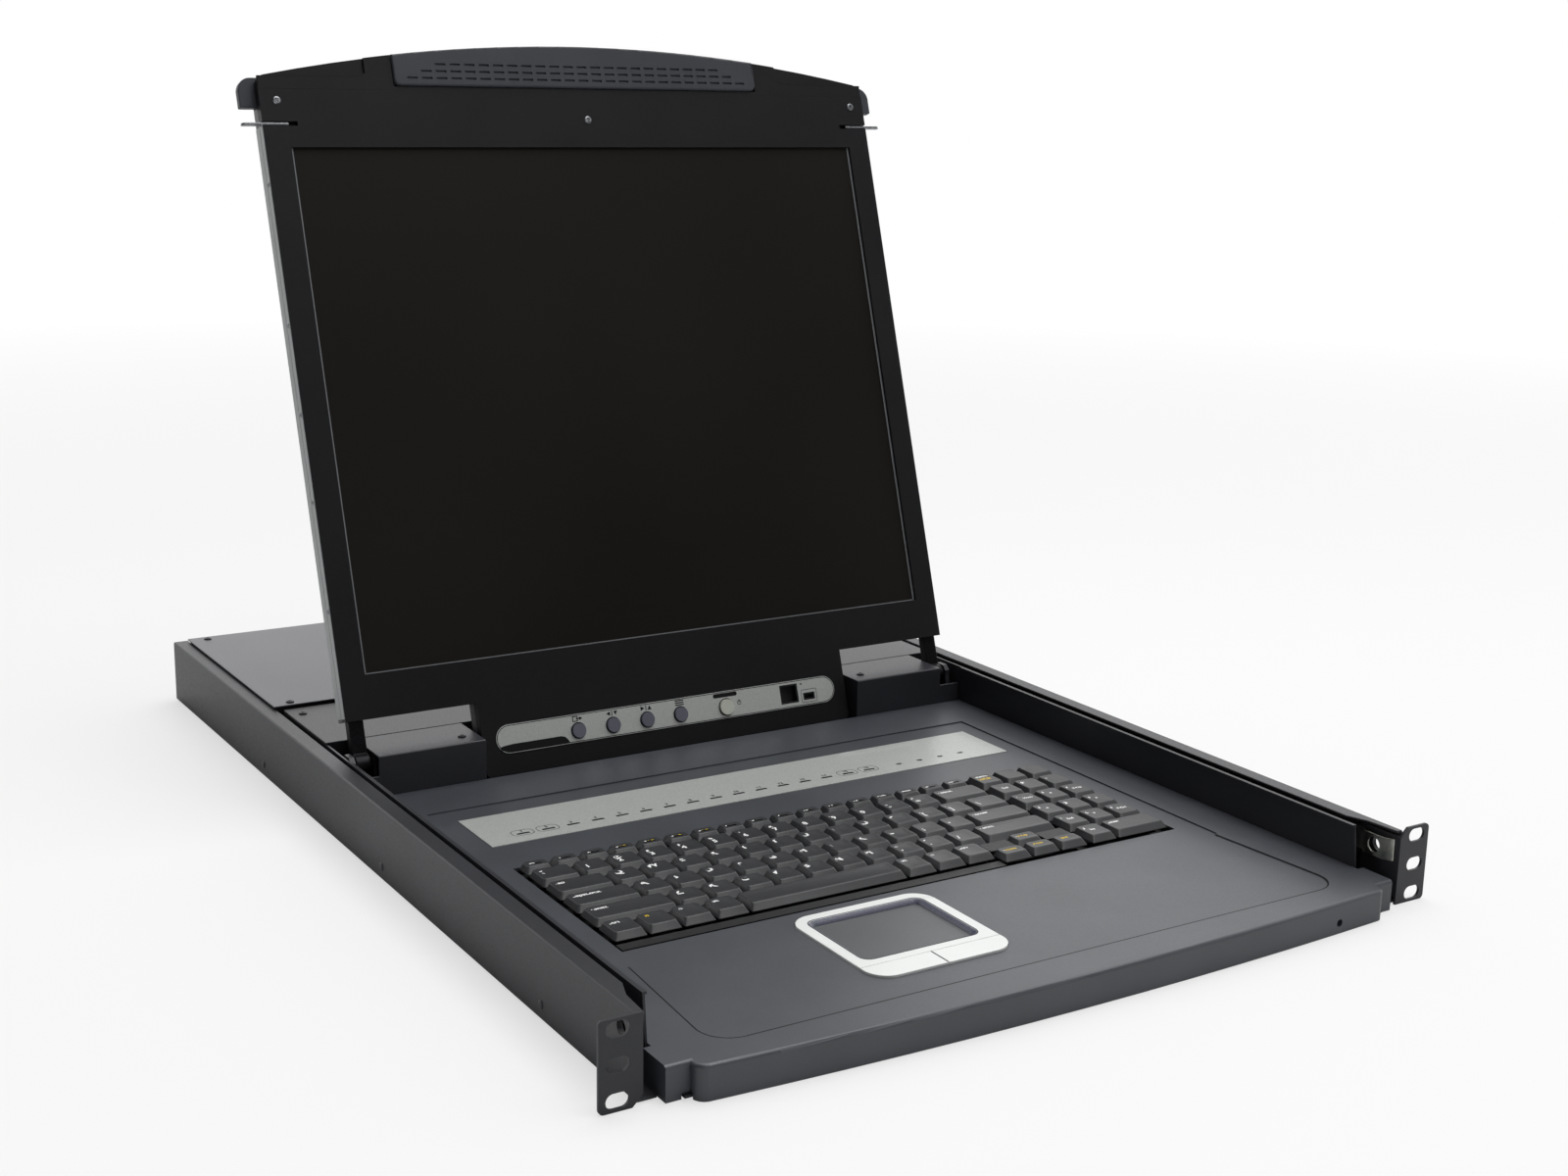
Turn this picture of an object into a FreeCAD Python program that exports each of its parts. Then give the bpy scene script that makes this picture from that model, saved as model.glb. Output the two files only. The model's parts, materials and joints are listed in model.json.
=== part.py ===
import FreeCAD, Part
import math
import os
import Sketcher

# A one-unit console drawer for a 19-inch rack: a fixed chassis with slides, a sliding
# keyboard drawer, and a flat screen lid hinged at the back of the keyboard.
# Millimetres. x runs left to right, y runs from the front of the rack to the rear, z is up.
# The origin is the middle of the rack-ear slots, on the front plane of the ears.

document = FreeCAD.newDocument("console_drawer")
vector = FreeCAD.Vector

# Driving dimensions
driving_sizes = [
    ("ear_reach", 17.8, "how far an ear stands out beside its channel"),
    ("ear_height", 41.7, "height of a rack ear"),
    ("ear_thick", 1.6, "sheet of the ears"),
    ("ear_leg_length", 24.0, "leg of an ear behind its face"),
    ("ear_leg_height", 33.0, "height of that leg"),
    ("ear_corner", 2.5, "rounding of the ears' outer corners"),
    ("ear_bevel", 5.0, "bevel of one inner corner of an ear"),
    ("slot_edge", 8.75, "slot columns inside the ears' outer edges"),
    ("slot_pitch", 15.875, "distance between slots in a column"),
    ("slot_length", 11.0, "length of a mounting slot"),
    ("slot_high", 7.0, "width of a mounting slot"),
    ("body_width", 447.0, "width over the side channels"),
    ("channel_rise", 19.6, "top of the side channels above the slot middle"),
    ("channel_drop", 20.0, "bottom of the side channels below the slot middle"),
    ("channel_sheet", 1.2, "sheet of the side channels"),
    ("slide_room", 12.1, "room for a slide between channel and drawer"),
    ("housing_step", 11.5, "rear housing's side walls inside the channels' outer faces"),
    ("cover_step", 8.5, "rear top cover's sides inside the channels' outer faces"),
    ("housing_deep", 176.0, "depth of the rear housing"),
    ("housing_space", 7.0, "space between the drawer and the rear housing"),
    ("cover_lap", 5.0, "how far the rear top cover reaches before its housing"),
    ("flange_top", 9.5, "top flange of a side channel"),
    ("flange_bottom", 10.0, "bottom flange of a side channel"),
    ("seam_gap", 0.3, "gap where two bodies or shells lie beside each other"),
    ("press_gap", 0.3, "gap round buttons and keys"),
    ("slide_bottom", -18.0, "bottom of the outer slide member"),
    ("slide_height", 19.0, "height of the outer slide member"),
    ("slide_sheet", 1.2, "sheet of the slide members"),
    ("slide_play", 0.5, "gap between nested slide members"),
    ("slide_end", 19.0, "rear end of the slides before the drawer's rear end"),
    ("slide_front", 28.0, "front end of the slides behind the ears"),
    ("slide_lip", 7.8, "depth of the outer member's lips"),
    ("strike_sheet", 1.0, "sheet of the latch strikes"),
    ("strike_bottom", 2.4, "bottom edge of a latch strike"),
    ("strike_height", 12.0, "height of a latch strike"),
    ("strike_inset", 3.8, "how far a strike stands in from the ear's leg"),
    ("latch_hole", 8.0, "hole for the latch tab"),
    ("latch_height", 8.5, "height of that hole above the slot middle"),
    ("housing_sheet", 1.2, "sheet of the rear housing"),
    ("housing_rise", 20.6, "top of the rear housing's walls"),
    ("cover_sheet", 1.0, "sheet of the rear top cover"),
    ("cover_skirt", 12.0, "turned-down sides of the rear top cover"),
    ("panel_sheet", 1.2, "sheet of the rear panel"),
    ("tray_sheet", 1.2, "sheet of the base tray"),
    ("tray_bottom", -19.5, "underside of the base tray"),
    ("tray_rise", 18.5, "top of the drawer's side walls"),
    ("tray_front", 20.0, "front end of the drawer's side walls"),
    ("tray_lip", 2.2, "turned-in top edge of the drawer's side walls"),
    ("deck_top", -4.0, "top of the keyboard deck"),
    ("deck_wall", 2.5, "wall of the moulded deck"),
    ("deck_drop", 16.5, "depth of the deck's front face"),
    ("front_bow", 18.4, "how far the front face stands out in the middle"),
    ("front_ends", 11.0, "how far the front face stands out at its ends"),
    ("front_round", 6.0, "rounding of the front face's ends"),
    ("wing_step", 2.3, "how far the wings stand out beside the drawer"),
    ("front_step", 11.5, "ends of the front face inside the wings"),
    ("wing_front", 4.0, "front of the wings before the ears' plane"),
    ("edge_round", 2.0, "rounding of the deck's front top edge"),
    ("deck_side_gap", 0.4, "gap between the deck and the drawer's side walls"),
    ("groove_wide", 1.0, "width of the grooves in the deck"),
    ("groove_deep", 0.6, "depth of the grooves in the deck"),
    ("palm_inset", 30.2, "palm rest's rear end inside the drawer's side"),
    ("palm_spread", 5.0, "how much wider the palm rest is at its front"),
    ("palm_front", 4.0, "front line of the palm rest"),
    ("palm_rear", 92.0, "rear line of the palm rest"),
    ("palm_round", 16.0, "rounded front corners of the palm rest"),
    ("recess_margin", 1.5, "margin of the sunk field beside the palm rest"),
    ("recess_behind", 39.7, "sunk field's rear line before the deck's rear edge"),
    ("recess_deep", 0.8, "depth of the sunk field"),
    ("unit_wide", 18.75, "width of one key unit"),
    ("row_deep", 19.4, "depth of one key row"),
    ("flap_deep", 7.3, "flat strip before the main rows of keys"),
    ("flap_top", -4.4, "top of that strip"),
    ("flap_gap", 2.8, "gap between that strip and the keys"),
    ("flap_edge", 0.6, "gap before that strip"),
    ("filler_top", -2.6, "top of the blank fields beside the upper arrow key"),
    ("filler_gap", 2.0, "gap behind those fields"),
    ("number_gap", 2.5, "gap between the main rows and the number pad"),
    ("key_gap", 1.2, "gap between neighbouring keys"),
    ("keys_left", -171.9, "left end of the key field"),
    ("keys_front", 113.0, "front of the key field"),
    ("key_rise", 3.6, "height of a key above its skirt"),
    ("key_skirt", -4.6, "underside of the key skirts"),
    ("key_taper", 1.7, "taper of a key on each side"),
    ("key_front_taper", 3.2, "taper of a key at its front"),
    ("key_travel", 2.0, "travel of a key"),
    ("well_margin", 1.5, "margin between the keys and the well"),
    ("well_front", 3.0, "margin before the keys"),
    ("key_stem", 4.0, "side of a key's stem"),
    ("key_plate_top", -9.0, "top of the key plate"),
    ("key_plate_sheet", 1.8, "thickness of the key plate"),
    ("touch_left", -88.7, "left edge of the touchpad frame"),
    ("touch_front", 23.5, "front edge of the touchpad frame"),
    ("touch_wide", 80.0, "width of the touchpad frame"),
    ("touch_deep", 79.0, "depth of the touchpad frame"),
    ("touch_round", 12.0, "rounded corners of the touchpad frame"),
    ("touch_border", 6.7, "border of the touchpad frame"),
    ("touch_bar", 5.7, "frame's bar between the buttons and the pad"),
    ("touch_inner_round", 5.0, "rounded corners of the frame's opening"),
    ("touch_button_deep", 14.6, "depth of the touchpad buttons"),
    ("touch_button_travel", 0.6, "travel of a touchpad button"),
    ("touch_sink", 2.4, "how far the pad lies below its frame"),
    ("frame_proud", 0.5, "how far the touchpad frame stands proud"),
    ("frame_seat", 1.9, "how deep the touchpad frame lies in the deck"),
    ("touch_ledge", 3.7, "ledge of the deck under the touchpad frame"),
    ("strip_inset", 11.4, "strip's ends inside the sunk field"),
    ("strip_behind", 16.5, "strip's rear edge before the sunk field's rear line"),
    ("strip_deep", 45.5, "depth of the indicator strip"),
    ("strip_thick", 1.0, "thickness of the indicator strip"),
    ("lamp_pitch", 14.9, "distance between the station windows"),
    ("lamp_wide", 7.6, "width of a station window"),
    ("lamp_deep", 2.0, "depth of a station window"),
    ("lamp_inset", 11.5, "line of the windows behind the strip's front edge"),
    ("lamp_start", -147.0, "middle of the first station window"),
    ("dot_pitch", 15.0, "distance between the status lamps"),
    ("dot_start", 98.0, "middle of the first status lamp"),
    ("dot_radius", 1.2, "radius of a status lamp"),
    ("lamp_hole_x", 166.0, "place of the small hole in the front face"),
    ("lamp_hole_z", -14.8, "height of that hole"),
    ("lamp_hole_radius", 2.0, "radius of that hole"),
    ("hinge_back", 381.0, "hinge axis behind the ears"),
    ("tray_behind", 96.0, "drawer's rear end behind the hinge axis"),
    ("hinge_rise", 11.0, "hinge axis above the slot middle"),
    ("lid_tilt", 17.8, "lean of the open lid from upright, in degrees"),
    ("hinge_pin", 3.0, "radius of the hinge pins"),
    ("hinge_fit", 0.05, "running fit of the hinge pins"),
    ("arm_radius", 6.5, "radius of an arm's barrel"),
    ("arm_gap", 0.5, "gap between an arm and the lid's side wall"),
    ("arm_wide", 8.9, "width of a hinge arm"),
    ("arm_thick", 6.0, "thickness of a hinge arm"),
    ("bracket_sheet", 3.0, "cheeks of the hinge brackets"),
    ("bracket_deep", 22.0, "depth of the hinge brackets"),
    ("hinge_cover_inner", 128.0, "inner side of a hinge cover"),
    ("hinge_cover_before", 15.0, "covers' front face before the hinge axis"),
    ("hinge_cover_behind", 21.7, "covers' rear edge behind the hinge axis"),
    ("hinge_cover_sheet", 1.2, "sheet of the hinge covers"),
    ("hinge_cover_round", 1.0, "bend of the hinge covers' front edge"),
    ("apron_top", 8.0, "top of the covers' low outer ends"),
    ("lid_side_gap", 5.2, "lid's side inside the drawer's side"),
    ("lid_front", 4.7, "lid's front face before the hinge axis"),
    ("bezel_deep", 5.5, "depth of the bezel"),
    ("back_deep", 7.0, "depth of the lid's back cover"),
    ("bezel_wall", 2.0, "wall of the bezel"),
    ("back_wall", 1.5, "wall of the back cover"),
    ("shoulder", 25.0, "lid's lower edge above the hinge axis"),
    ("tongue_half", 125.5, "half width of the lid's middle tongue"),
    ("tongue_drop", 19.0, "how far the tongue reaches below the hinge axis"),
    ("tongue_round", 3.0, "rounded lower corners of the tongue"),
    ("lid_arch", 21.0, "how far the lid's middle rises above its sides"),
    ("lid_corner", 6.0, "rounded top corners of the lid"),
    ("screen_border", 15.0, "bezel beside the screen opening"),
    ("screen_high", 302.7, "height of the screen opening"),
    ("screen_sill", 25.2, "screen opening above the lid's shoulder"),
    ("screen_head", 41.6, "lid's sides above the screen opening"),
    ("screen_lap", 2.5, "how far the screen reaches behind the bezel"),
    ("screen_thick", 7.0, "thickness of the screen module"),
    ("brow_drop", 6.5, "brow's line below the top of the lid's sides"),
    ("brow_inner", 140.0, "where the bevel runs out beside the grip"),
    ("brow_deep", 1.6, "depth of the bezel's top bevel"),
    ("grip_half", 123.0, "half width of the handle grip"),
    ("grip_drop", 5.0, "grip's lower edge below the top of the lid's sides"),
    ("grip_proud", 1.6, "how far the grip stands before the bezel"),
    ("grip_round", 4.0, "rounded lower corners of the grip"),
    ("grip_edge", 1.2, "rounding of the grip's front edges"),
    ("vent_wide", 6.6, "length of a grip perforation"),
    ("vent_high", 1.3, "height of a grip perforation"),
    ("vent_pitch", 9.3, "distance between grip perforations"),
    ("vent_deep", 1.0, "depth of the grip perforations"),
    ("vent_inset", 4.5, "lowest line of perforations above the grip's edge"),
    ("vent_rise", 4.2, "distance between the lines"),
    ("osd_half", 117.1, "half length of the control strip"),
    ("osd_high", 16.8, "height of the control strip"),
    ("osd_middle", 1.7, "middle of the control strip above the axis"),
    ("osd_thick", 1.0, "thickness of the control strip"),
    ("osd_sink", 0.6, "how deep the strip lies in the bezel"),
    ("osd_button_radius", 4.3, "radius of a control button"),
    ("osd_button_start", -64.2, "place of the first control button"),
    ("osd_button_pitch", 23.1, "distance between control buttons"),
    ("osd_button_line", 0.2, "line of the buttons above the axis"),
    ("osd_button_proud", 1.6, "how far a button stands before the strip"),
    ("osd_button_long", 5.0, "length of a button"),
    ("osd_travel", 0.8, "travel of a control button"),
    ("power_button_x", 37.4, "place of the power button"),
    ("power_button_radius", 4.8, "radius of the power button"),
    ("jack_x", 83.4, "place of the service jack"),
    ("jack_z", 2.0, "height of the service jack above the axis"),
    ("jack_wide", 13.0, "width of the service jack"),
    ("jack_high", 12.0, "height of the service jack"),
    ("port_x", 97.8, "place of the small service port"),
    ("port_z", -1.0, "height of the small service port"),
    ("port_wide", 8.4, "width of the small service port"),
    ("port_high", 4.6, "height of the small service port"),
    ("socket_deep", 6.0, "depth of the service sockets"),
    ("catch_long", 21.6, "length of a release catch"),
    ("catch_proud", 9.6, "how far a catch stands out beside the lid"),
    ("catch_high", 17.4, "height of a release catch"),
    ("catch_lift", 0.4, "catch's top above the lid's sides"),
    ("catch_front", 1.2, "front face of a catch behind the hinge plane"),
    ("catch_thick", 5.0, "thickness of a release catch"),
    ("catch_round", 8.0, "rounded outer corner of a release catch"),
    ("catch_travel", 4.0, "travel of a release catch"),
    ("tab_long", 27.0, "length of a latch tab"),
    ("tab_gap", 0.4, "gap between a latch tab and its strike"),
    ("tab_drop", 10.9, "latch tab below its release catch"),
    ("tab_thick", 1.5, "thickness of a latch tab"),
    ("tab_wide", 3.6, "width of a latch tab"),
    ("tab_slot", 2.6, "slot in the bezel for the latch tab"),
    ("module_inset", 32.0, "middle of the power entry module inside the housing"),
    ("module_wide", 52.0, "width of the power entry module"),
    ("module_high", 26.0, "height of the power entry module"),
    ("module_deep", 22.0, "depth of the module's body"),
    ("module_flange", 2.4, "flange of the module"),
    ("inlet_wide", 24.5, "width of the inlet's socket"),
    ("inlet_high", 16.5, "height of the inlet's socket"),
    ("inlet_deep", 16.0, "depth of the inlet's socket"),
    ("pin_recess", 5.5, "how deep the inlet's pins end below its face"),
    ("rocker_wide", 12.0, "width of the power rocker"),
    ("rocker_high", 19.0, "height of the power rocker"),
    ("station_pitch", 34.0, "distance between station sockets"),
    ("station_inset", 58.0, "first station socket beside the power entry"),
    ("station_rise", 8.6, "rows of station sockets above and below middle"),
    ("station_wide", 17.0, "width of a station socket's shell"),
    ("station_high", 8.4, "height of a station socket's shell"),
    ("station_proud", 6.0, "how far a socket shell stands out"),
    ("station_edge", 0.8, "rim of a station socket's shell"),
    ("station_post", 4.4, "side of a socket's jack post"),
    ("supply_wide", 84.0, "width of the power supply"),
    ("supply_deep", 120.0, "depth of the power supply"),
    ("supply_high", 30.0, "height of the power supply"),
    ("controller_wide", 130.0, "width of the controller board"),
    ("controller_deep", 60.0, "depth of the controller board"),
    ("board_thick", 1.6, "thickness of a circuit board"),
    ("standoff", 5.0, "height of a circuit board above its floor"),
]

sheet = document.addObject("Spreadsheet::Sheet", "Sizes")
for row, (alias, number, note) in enumerate(driving_sizes, start=1):
    sheet.set("A%d" % row, str(number))
    sheet.setAlias("A%d" % row, alias)
    sheet.set("B%d" % row, note)
document.recompute()


class Size:
    # a length with its number and the words that bind it to the sheet
    def __init__(self, words, number):
        self.words = words
        self.number = number

    def __add__(self, other):
        other = as_size(other)
        return Size("(%s + %s)" % (self.words, other.words), self.number + other.number)

    def __radd__(self, other):
        return as_size(other) + self

    def __sub__(self, other):
        other = as_size(other)
        return Size("(%s - %s)" % (self.words, other.words), self.number - other.number)

    def __rsub__(self, other):
        return as_size(other) - self

    def __mul__(self, other):
        other = as_size(other)
        return Size("(%s * %s)" % (self.words, other.words), self.number * other.number)

    def __rmul__(self, other):
        return as_size(other) * self

    def __truediv__(self, other):
        other = as_size(other)
        return Size("(%s / %s)" % (self.words, other.words), self.number / other.number)

    def __neg__(self):
        return Size("(-1 * %s)" % self.words, -self.number)


def as_size(value):
    if isinstance(value, Size):
        return value
    return Size("(%r)" % float(value), float(value))


class Sizes:
    pass


s = Sizes()
for alias, number, note in driving_sizes:
    setattr(s, alias, Size("Sizes." + alias, float(sheet.get(alias))))

# Sub-parts that are written out, in order
sub_parts = []
lid_frame = "lid"


def bind(thing, name, value):
    thing.setExpression(name, as_size(value).words)


def keep(thing, label, frame=None):
    thing.Label = label
    if frame == lid_frame:
        thing.Placement = FreeCAD.Placement(
            vector(0, s.hinge_back.number, s.hinge_rise.number),
            FreeCAD.Rotation(vector(-1, 0, 0), s.lid_tilt.number))
        bind(thing, "Placement.Base.y", s.hinge_back)
        bind(thing, "Placement.Base.z", s.hinge_rise)
        bind(thing, "Placement.Rotation.Angle", s.lid_tilt)
    sub_parts.append(thing)
    return thing


# Sketches and features
def new_body(label):
    return document.addObject("PartDesign::Body", label)


def new_sketch(body, plane, middle):
    sketch = body.newObject("Sketcher::SketchObject", body.Name + "_sketch")
    support = [f for f in body.Origin.OriginFeatures if f.Role == plane + "_Plane"][0]
    sketch.AttachmentSupport = [(support, "")]
    sketch.MapMode = "FlatFace"
    offset = -as_size(middle) if plane == "XZ" else as_size(middle)
    bind(sketch, "AttachmentOffset.Base.z", offset)
    return sketch


def pin_point(sketch, curve, end, across, up):
    for kind, value in (("DistanceX", as_size(across)), ("DistanceY", as_size(up))):
        constraint = Sketcher.Constraint(kind, -1, 1, curve, end, value.number)
        number = sketch.addConstraint(constraint)
        bind(sketch, "Constraints[%d]" % number, value)


def arc_through(first, last, radius):
    # the shorter arc from first to last, to the right of the line between them
    chord = last - first
    half = chord.Length / 2
    radius = max(radius, half * 1.0001)
    side = vector(chord.y, -chord.x, 0)
    side.normalize()
    centre = (first + last) / 2 - side * math.sqrt(radius * radius - half * half)
    return Part.Arc(first, centre + side * radius, last)


def draw_outline(sketch, corners):
    # a corner is (across, up), or (across, up, radius) where an arc starts there
    start = sketch.GeometryCount
    places = [vector(as_size(c[0]).number, as_size(c[1]).number, 0) for c in corners]
    count = len(corners)
    for i, corner in enumerate(corners):
        first, last = places[i], places[(i + 1) % count]
        if len(corner) == 3:
            sketch.addGeometry(arc_through(first, last, as_size(corner[2]).number), False)
        else:
            sketch.addGeometry(Part.LineSegment(first, last), False)
    for i, corner in enumerate(corners):
        following = start + (i + 1) % count
        arc_turned = len(corner) == 3 and arc_is_turned(sketch, start + i, places[i])
        next_corner = corners[(i + 1) % count]
        next_place = places[(i + 1) % count]
        next_turned = len(next_corner) == 3 and arc_is_turned(sketch, following, next_place)
        sketch.addConstraint(Sketcher.Constraint(
            "Coincident", start + i, 1 if arc_turned else 2, following, 2 if next_turned else 1))
        pin_point(sketch, start + i, 2 if arc_turned else 1, corner[0], corner[1])
        if len(corner) == 3:
            radius = as_size(corner[2])
            number = sketch.addConstraint(
                Sketcher.Constraint("Radius", start + i, sketch.Geometry[start + i].Radius))
            bind(sketch, "Constraints[%d]" % number, radius)


def arc_is_turned(sketch, curve, place):
    return sketch.getPoint(curve, 1).distanceToPoint(place) > 1e-6


def draw_circle(sketch, across, up, radius):
    curve = sketch.GeometryCount
    middle = vector(as_size(across).number, as_size(up).number, 0)
    circle = Part.Circle(middle, vector(0, 0, 1), as_size(radius).number)
    sketch.addGeometry(circle, False)
    pin_point(sketch, curve, 3, across, up)
    number = sketch.addConstraint(Sketcher.Constraint("Radius", curve, as_size(radius).number))
    bind(sketch, "Constraints[%d]" % number, radius)


def box_outline(x0, x1, y0, y1):
    return [(x0, y0), (x1, y0), (x1, y1), (x0, y1)]


def slot_outline(x, y, length, height):
    # a slot with round ends, lying along the first axis
    half = (length - height) / 2
    low, high = y - height / 2, y + height / 2
    return [(x - half, low), (x + half, low, height / 2), (x + half, high), (x - half, high, height / 2)]


def feature(body, kind, plane, low, high, outlines, circles):
    sketch = new_sketch(body, plane, (as_size(low) + high) / 2)
    for corners in outlines:
        draw_outline(sketch, corners)
    for circle in circles:
        draw_circle(sketch, *circle)
    thing = body.newObject(kind, body.Name + "_feature")
    thing.Profile = sketch
    thing.SideType = "Symmetric"
    bind(thing, "Length", as_size(high) - low)
    sketch.Visibility = False
    return thing


def pad(body, plane, low, high, *outlines, circles=()):
    return feature(body, "PartDesign::Pad", plane, low, high, outlines, circles)


def pocket(body, plane, low, high, *outlines, circles=()):
    before = body.Tip
    thing = feature(body, "PartDesign::Pocket", plane, low, high, outlines, circles)
    document.recompute()
    if not thing.Shape.Volume < before.Shape.Volume:
        raise ValueError("nothing cut from " + body.Label)
    return thing


def edge_names(thing, wanted):
    names = []
    for number, edge in enumerate(thing.Shape.Edges, start=1):
        if wanted(edge):
            names.append("Edge%d" % number)
    return names


def round_edges(body, radius, wanted, kind="PartDesign::Fillet"):
    document.recompute()
    base = body.Tip
    names = edge_names(base, wanted)
    if not names:
        raise ValueError("no edges to round on " + body.Label)
    thing = body.newObject(kind, body.Name + "_edge")
    thing.Base = (base, names)
    bind(thing, "Size" if kind.endswith("Chamfer") else "Radius", radius)
    return thing


def runs_along(edge, axis):
    if not isinstance(edge.Curve, Part.Line):
        return False
    return abs(abs(edge.tangentAt(edge.FirstParameter).dot(axis)) - 1) < 1e-6


def near(value, target, reach=0.01):
    return abs(value - as_size(target).number) < reach


x_axis = vector(1, 0, 0)
y_axis = vector(0, 1, 0)
z_axis = vector(0, 0, 1)


# Primitives, for groups of small separate solids
def block(x0, x1, y0, y1, z0, z1):
    thing = document.addObject("Part::Box", "block")
    for name, low, high in (("x", x0, x1), ("y", y0, y1), ("z", z0, z1)):
        side = {"x": "Length", "y": "Width", "z": "Height"}[name]
        bind(thing, side, as_size(high) - low)
        bind(thing, "Placement.Base." + name, low)
    return thing


def rod(radius, length, x, y, z, axis=z_axis):
    # a round bar that starts at the given place and runs along the axis
    thing = document.addObject("Part::Cylinder", "rod")
    thing.Placement = FreeCAD.Placement(vector(0, 0, 0), FreeCAD.Rotation(z_axis, axis))
    bind(thing, "Radius", radius)
    bind(thing, "Height", length)
    for name, value in (("x", x), ("y", y), ("z", z)):
        bind(thing, "Placement.Base." + name, value)
    return thing


def join(things):
    thing = document.addObject("Part::MultiFuse", "joined")
    thing.Shapes = things
    return thing


def cut(base, tool):
    thing = document.addObject("Part::Cut", "cut")
    thing.Base = base
    thing.Tool = tool
    return thing


def group(things):
    thing = document.addObject("Part::Compound", "group")
    thing.Links = things
    return thing


sides = (("left", -1), ("right", 1))

# Worked-out sizes across the object
half_body = s.body_width / 2
ear_half = half_body + s.ear_reach
slot_half = ear_half - s.slot_edge
wall_inside = half_body - s.channel_sheet
leg_inside = wall_inside - s.ear_thick
drawer_half = wall_inside - s.slide_room
housing_half = half_body - s.housing_step
cover_half = half_body - s.cover_step
wing_half = drawer_half + s.wing_step
front_half = wing_half - s.front_step
palm_half_rear = drawer_half - s.palm_inset
palm_half_front = palm_half_rear + s.palm_spread
recess_half = palm_half_rear + s.recess_margin
strip_half = recess_half - s.strip_inset
lid_half = drawer_half - s.lid_side_gap
screen_half = lid_half - s.screen_border
arm_inner = lid_half - s.bezel_wall - s.arm_gap - s.arm_wide
hinge_cover_outer = arm_inner - s.arm_gap
module_x = s.module_inset - housing_half
station_start = module_x + s.station_inset

# Worked-out sizes along the object
hinge_cover_front = s.hinge_back - s.hinge_cover_before
hinge_cover_rear = s.hinge_back + s.hinge_cover_behind
plate_front = hinge_cover_rear + s.arm_gap
deck_rear = hinge_cover_front - s.seam_gap
recess_rear = deck_rear - s.recess_behind
strip_front = recess_rear - s.strip_behind - s.strip_deep
lamp_line = strip_front + s.lamp_inset
tray_rear = s.hinge_back + s.tray_behind
slide_rear = tray_rear - s.slide_end
housing_front = tray_rear + s.housing_space
cover_front = housing_front - s.cover_lap
rear_depth = housing_front + s.housing_deep

# Worked-out sizes of the key field
main_units = 15.0
arrow_start = 12.0
main_front = s.keys_front + s.flap_deep
main_right = s.keys_left + s.unit_wide * main_units
number_left = main_right + s.number_gap
keys_right = s.keys_left + s.unit_wide * 18
keys_rear = s.keys_front + s.row_deep * 6
function_front = main_front + s.row_deep * 5
arrow_left = s.keys_left + s.unit_wide * arrow_start
arrow_deep = s.flap_deep + s.row_deep
arrow_middle = s.keys_front + arrow_deep / 2

# Worked-out sizes up the lid
screen_bottom = s.shoulder + s.screen_sill
arm_reach = screen_bottom - s.screen_lap - s.arm_gap
lid_side = screen_bottom + s.screen_high + s.screen_head
lid_crown = lid_side + s.lid_arch
brow_line = lid_side - s.brow_drop
grip_bottom = lid_side - s.grip_drop
vent_line = grip_bottom + s.vent_inset
catch_top = lid_side + s.catch_lift
catch_bottom = catch_top - s.catch_high
catch_outer = lid_half + s.catch_proud
catch_inner = catch_outer - s.catch_long
tab_outer = leg_inside - s.strike_inset - s.tab_gap
tab_inner = tab_outer - s.tab_long
tab_line = catch_bottom - s.tab_drop
latch_back = s.hinge_back - tab_line


# Side channels: outer wall, top flange and bottom flange in one bent sheet
def make_side_channel(name, side):
    body = new_body("side_channel_" + name)
    top = s.channel_rise
    bottom = -s.channel_drop
    t = s.channel_sheet
    pad(body, "XZ", s.ear_thick, rear_depth, [
        (side * half_body, bottom),
        (side * half_body, top),
        (side * (half_body - s.flange_top), top),
        (side * (half_body - s.flange_top), top - t),
        (side * wall_inside, top - t),
        (side * wall_inside, bottom + t),
        (side * (half_body - s.flange_bottom), bottom + t),
        (side * (half_body - s.flange_bottom), bottom)])
    pocket(body, "YZ", side * (half_body - s.channel_sheet - 1), side * (half_body + 1),
           circles=[(latch_back, s.latch_height, s.latch_hole / 2)])
    # the top flange narrows at the front, where the latch tab comes down
    inner = half_body - s.flange_top - 1
    tab_side = tab_outer + 1.5
    pocket(body, "XY", top - t - 1, top + 1, [
        (side * inner, s.ear_thick - 1), (side * (tab_side + 1.5), s.ear_thick - 1),
        (side * tab_side, latch_back + 6), (side * inner, latch_back + 20)])
    round_edges(body, s.channel_sheet, lambda e: runs_along(e, y_axis)
                and near(abs(e.BoundBox.Center.x), half_body))
    return keep(body, "side_channel_" + name)


# Rack ears: the same folded plate on both sides, turned over on the left
def make_rack_ear(name, side):
    body = new_body("rack_ear_" + name)
    half = s.ear_height / 2
    ear_inside = leg_inside
    bevel = s.ear_bevel
    pad(body, "XZ", 0, s.ear_thick, [
        (side * ear_half, -half * side),
        (side * ear_half, half * side),
        (side * (ear_inside + bevel), half * side),
        (side * ear_inside, (half - bevel) * side),
        (side * ear_inside, -half * side)])
    pad(body, "XZ", s.ear_thick, s.ear_thick + s.ear_leg_length,
        box_outline(side * ear_inside, side * wall_inside, -s.ear_leg_height / 2, s.ear_leg_height / 2))
    slots = []
    for step in (-1, 0, 1):
        slots.append(slot_outline(side * slot_half, step * s.slot_pitch, s.slot_length, s.slot_high))
    pocket(body, "XZ", -1, s.ear_thick + 1, *slots)
    pocket(body, "YZ", side * (ear_inside - 1), side * (wall_inside + 1),
           circles=[(latch_back, s.latch_height, s.latch_hole / 2)])
    round_edges(body, s.ear_corner, lambda e: runs_along(e, y_axis)
                and near(abs(e.BoundBox.Center.x), ear_half))
    return keep(body, "rack_ear_" + name)


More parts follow.
